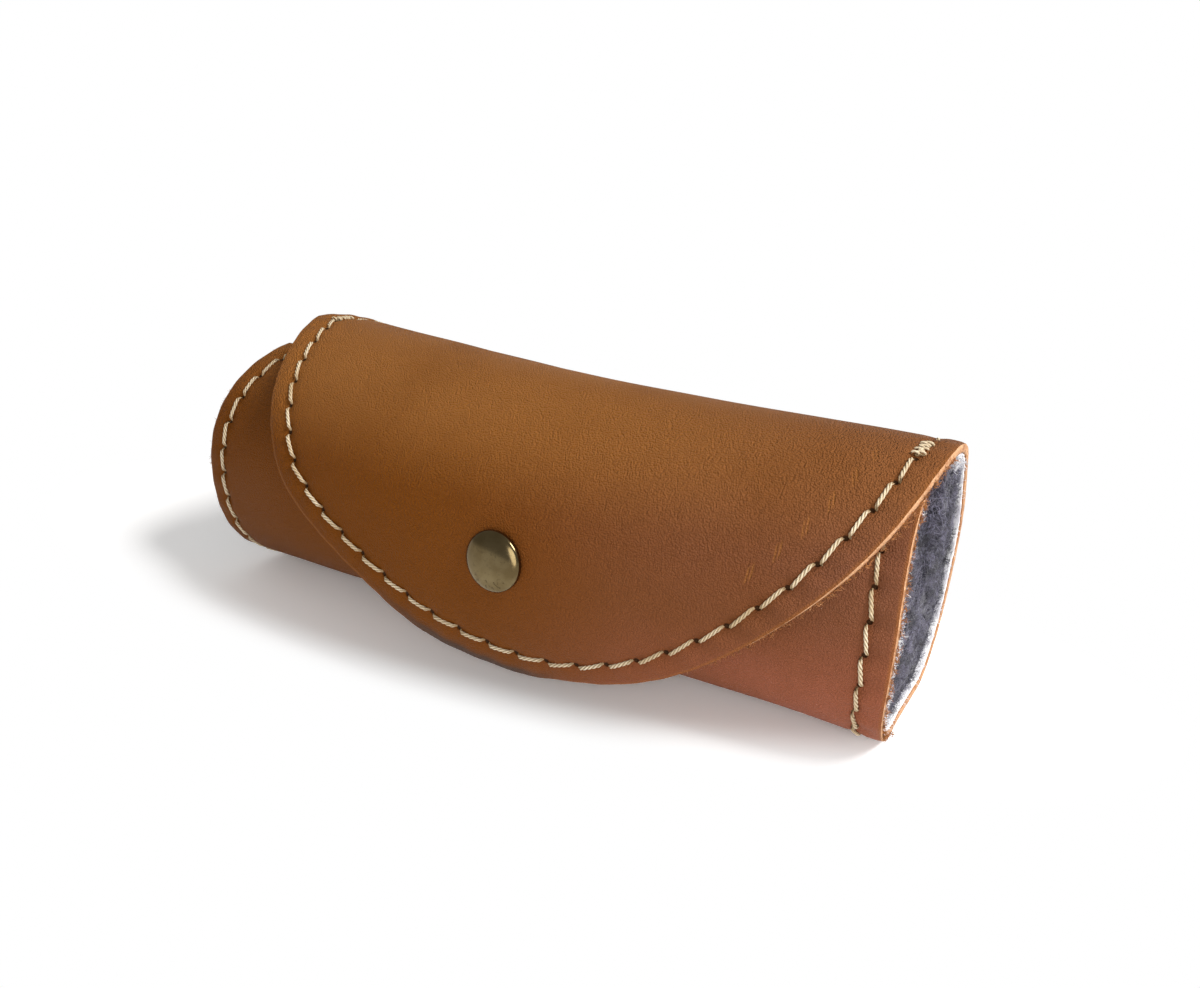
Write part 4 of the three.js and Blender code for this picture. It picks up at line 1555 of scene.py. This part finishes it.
# Snap: five turned pieces on one axis, square to the flap
snap = {
    "x": 7.0,
    "angle": 529.5,
    "capRadius": 6.02,
    "capHeight": 2.5,
    "capEdge": 0.62,  # height at which the dome starts
    "capTurn": 4.0,  # degrees that the cap sits askew
    "leather": 1.6,
    "capSeat": 0.35,
    "postRadius": 1.9,
    "postReach": 1.4,
    "postHole": 2.3,
    "socketSeat": 1.15,
    "socketRadius": 6.0,
    "socketMouth": 4.3,
    "socketHeight": 3.3,
    "springRadius": 4.75,
    "springWire": 0.35,
    "springSeat": 1.15,
    "studBase": 5.2,
    "studHead": 2.6,
    "studNeck": 2.1,
    "studEntry": 0.8,
    "washerRadius": 5.0,
    "washer": 0.55,
    "gap": 0.3,
    "corner": 0.16,
    "cornerSteps": 3,
    "dome": (84, 0, 22),  # degrees from and to, and steps
    "domePower": 0.9,
    "wireSteps": 13,
    "sides": 72,
}


def snapFrame():
    down = math.radians(snap["angle"] - roll["top"]) * flapCut["wrapRadius"]
    centre = flapPoint(snap["x"], down, 0)
    aside = flapPoint(snap["x"] + 1, down, 0) - centre
    below = flapPoint(snap["x"], down + 1, 0) - centre
    normal = unit(np.cross(below, aside))
    if normal[1] > 0:
        normal = -normal
    first = unit(aside - normal * np.dot(aside, normal))
    return centre, first, np.cross(normal, first), normal


def mergeAndTurn(shape):
    bmesh.ops.remove_doubles(shape, verts=shape.verts, dist=1e-7)
    faceOutward(shape)


# Profiles are radius and height, and heights run up from the flap's outer face
def turnedPiece(name, profile, askew=0.0):
    centre, first, second, normal = snapFrame()
    cos, sin = math.cos(math.radians(askew)), math.sin(math.radians(askew))
    first, normal = first * cos + normal * sin, normal * cos - first * sin
    profile = np.array(profile, float)
    turn = np.linspace(0, 2 * np.pi, snap["sides"], endpoint=False)
    ring = first[None] * np.cos(turn)[:, None] + second[None] * np.sin(turn)[:, None]
    points = centre + ring[None] * profile[:, 0, None, None] + normal * profile[:, 1, None, None]
    faces = ringFaces(len(profile), snap["sides"])
    piece = makeObject(name, metres(points.reshape(-1, 3)), faces, (agedBrass,))
    reshape(piece.data, mergeAndTurn)
    smooth(piece.data)
    return piece


def rounded(*profile):
    profile = np.array(profile, float)
    out = [profile[0]]
    for before, here, after in zip(profile, profile[1:], profile[2:]):
        reach = [min(snap["corner"], np.linalg.norm(p - here) * 0.45) for p in (before, after)]
        start = here + unit(before - here) * reach[0]
        stop = here + unit(after - here) * reach[1]
        for t in np.linspace(0, 1, snap["cornerSteps"]):
            out.append(start * (1 - t) ** 2 + here * 2 * t * (1 - t) + stop * t**2)
    out.append(profile[-1])
    return out


def snapPieces():
    seat, tall, wide, edge = snap["capSeat"], snap["capHeight"], snap["capRadius"], snap["capEdge"]
    socketTop = -snap["leather"] - snap["socketSeat"]
    socketFoot = socketTop - snap["socketHeight"]
    face = -roll["standOff"]
    post, postFoot = snap["postRadius"], socketTop - snap["postReach"]
    under = rounded(
        (0, postFoot), (post, postFoot), (post, seat - 0.1), (wide - 0.35, seat - 0.1), (wide, seat + 0.25)
    )
    slopes = np.radians(np.linspace(*snap["dome"]))
    rises = [(tall - edge) * (math.cos(a) ** snap["domePower"]) for a in slopes]
    dome = [(wide * math.sin(a), seat + edge + rise) for a, rise in zip(slopes, rises)]
    cap = turnedPiece("snapCap", under + dome, snap["capTurn"])
    floor, lip, grooveTop = socketTop - 0.8, socketFoot + 0.6, socketFoot + 1.7
    mouth, hole, outside = snap["socketMouth"], snap["postHole"], snap["socketRadius"]
    groove = snap["springRadius"] + snap["springWire"] + snap["gap"]
    socketProfile = rounded(
        (hole, socketTop), (hole, floor), (mouth, floor), (mouth, grooveTop), (groove, grooveTop),
        (groove, lip), (mouth, lip), (mouth, socketFoot), (outside - 0.4, socketFoot),
        (outside, socketFoot + 0.5), (outside, socketTop), (hole, socketTop),
    )
    socket = turnedPiece("snapSocket", socketProfile)
    wire, ring, level = snap["springWire"], snap["springRadius"], socketFoot + snap["springSeat"]
    around = np.linspace(0, 2 * np.pi, snap["wireSteps"])
    springProfile = [(ring + wire * math.cos(a), level + wire * math.sin(a)) for a in around]
    spring = turnedPiece("snapSpring", springProfile)
    top, base = socketFoot + snap["studEntry"], face + snap["gap"]
    neck, head, foot = snap["studNeck"], snap["studHead"], snap["studBase"]
    studProfile = rounded(
        (0, base - snap["gap"]), (foot, base - snap["gap"]), (foot, base + 0.5), (neck + 0.9, base + 1),
        (neck, base + 1.5), (neck, top - 1.6), (head, top - 0.9), (head - 0.4, top - 0.2),
        (head - 1, top), (0, top),
    )
    stud = turnedPiece("snapStud", studProfile)
    plate, plateFoot = snap["washerRadius"], face - snap["leather"]
    plateTop = plateFoot + snap["washer"]
    postProfile = rounded(
        (0, plateFoot), (plate, plateFoot), (plate, plateTop), (post, plateTop), (post, face), (0, face)
    )
    return cap, socket, spring, stud, turnedPiece("studPost", postProfile)


snapCap, snapSocket, snapSpring, snapStud, studPost = snapPieces()
print("snap made")

for piece in (upperHide, upperThread, leftTack, rightTack, flapFuzz, backFuzz):
    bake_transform(piece)
for piece in (frontHide, frontThread, frontFuzz):
    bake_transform(piece)
for piece in (backPelt, backWool, backPeltFuzz):
    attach(piece, "back")
for piece in (frontPelt, frontWool, frontPeltFuzz, snapStud, studPost):
    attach(piece, "front")
for piece in (snapCap, snapSocket, snapSpring):
    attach(piece, "flap")
for (body, _), piece in woolTufts.items():
    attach(piece, body)

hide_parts("back_leather", "flap_leather")
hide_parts("front_leather")
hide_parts("flap_stitching", "back_stitching_left", "back_stitching_right")
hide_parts("front_stitching_left", "front_stitching_right")
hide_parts("bar_tack_left")
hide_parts("bar_tack_right")
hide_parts("back_pelt")
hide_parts("front_pelt")
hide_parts("back_wool")
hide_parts("front_wool")
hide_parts("snap_cap")
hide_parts("snap_socket")
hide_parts("snap_spring")
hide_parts("snap_stud")
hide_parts("snap_post")

# Floor, lamps and surroundings
stage = {
    "floorSize": 3.0,
    "floor": (226, 224, 222),
    "floorRough": 0.8,
    "floorShine": 0.2,
    "paler": 0.5,  # the paper looks so much paler to the camera, and keeps its shadow
    "shadowMiddle": (-0.021, 0.009),  # round here the floor turns from the shadow to plain white
    "shadowHalf": (0.115, 0.04),
    "shadowTurn": 0.13,
    "shadowReach": (0.92, 1.3),
    "around": 0.4,
    "mirrored": 0.85,  # the room is so much darker in the metal
    "mirroredFloor": (0.03, 0.01),
    "aim": (0, 0, 0.03),
    "lamps": [
        {"name": "keyLamp", "place": (0.50, 0.10, 0.62), "size": 0.32, "power": 7.2},
        {"name": "fillLamp", "place": (0.22, -0.34, 0.16), "size": 0.3, "power": 0.95},
    ],
}


def makeFloor(plan):
    half = plan["floorSize"] / 2
    corners = [(-half, -half, 0), (half, -half, 0), (half, half, 0), (-half, half, 0)]
    material, tree, surface, end = newMaterial("paleFloorPaper")
    floor = makeObject("paleFloor", corners, [(0, 1, 2, 3)], (material,))
    feed(surface.inputs["Base Color"], paint(plan["floor"]))
    feed(surface.inputs["Roughness"], plan["floorRough"])
    feed(surface.inputs["Specular IOR Level"], plan["floorShine"])
    x, y, _ = split(objectPlace(tree))
    (middleX, middleY), (halfX, halfY) = plan["shadowMiddle"], plan["shadowHalf"]
    across = calc("DIVIDE", calc("SUBTRACT", x, middleX), halfX)
    deep = calc("DIVIDE", scaled(x, -plan["shadowTurn"], calc("SUBTRACT", y, middleY)), halfY)
    fade = eased(hypotenuse(across, deep), *plan["shadowReach"])
    ray = put(tree, "ShaderNodeLightPath").outputs
    seen = calc("MAXIMUM", ray["Is Glossy Ray"], ray["Is Transmission Ray"])
    seen = calc("MAXIMUM", ray["Is Camera Ray"], seen)
    paler = mixed(seen, (0, 0, 0, 1), (*[plan["paler"]] * 3, 1))
    paper = put(tree, "ShaderNodeBsdfDiffuse", {"Color": paler}).outputs[0]
    lit = put(tree, "ShaderNodeAddShader", {0: surface.outputs[0], 1: paper}).outputs[0]
    white = put(tree, "ShaderNodeEmission", {"Strength": 1.0}).outputs[0]
    whole = put(tree, "ShaderNodeMixShader", {0: times(fade, seen), 1: lit, 2: white}).outputs[0]
    feed(end.inputs["Surface"], whole)


def addLamps(plan):
    for lamp in plan["lamps"]:
        data = bpy.data.lights.new(lamp["name"], "AREA")
        data.shape = "DISK"
        data.size = lamp["size"]
        data.energy = lamp["power"]
        light = addObject(lamp["name"], data)
        light.location = lamp["place"]
        aim = Vector(plan["aim"]) - Vector(lamp["place"])
        light.rotation_euler = aim.to_track_quat("-Z", "Y").to_euler()


def makeSurroundings(plan):
    world = bpy.data.worlds.new("softRoom")
    scene.world = world
    world.use_nodes = True
    tree = world.node_tree
    tree.nodes.clear()
    ray = put(tree, "ShaderNodeLightPath").outputs
    height = split(put(tree, "ShaderNodeTexCoord").outputs["Generated"])[2]
    mirrored = times(ray["Is Glossy Ray"], eased(height, *plan["mirroredFloor"]))
    seen = calc("MAXIMUM", calc("MAXIMUM", ray["Is Camera Ray"], ray["Is Transmission Ray"]), mirrored)
    room = times(scaled(ray["Is Glossy Ray"], plan["mirrored"] - 1, 1.0), plan["around"])
    strength = scaled(seen, calc("SUBTRACT", 1.0, room), room)
    back = put(tree, "ShaderNodeBackground", {"Color": (1, 1, 1, 1), "Strength": strength}).outputs[0]
    put(tree, "ShaderNodeOutputWorld", {"Surface": back})


makeFloor(stage)
addLamps(stage)
makeSurroundings(stage)

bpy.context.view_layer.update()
for piece in [o for o in scene.objects if o.type == "MESH" and not o.hide_render]:
    piece.data.calc_loop_triangles()
    print(piece.name, len(piece.data.loop_triangles), "triangles")
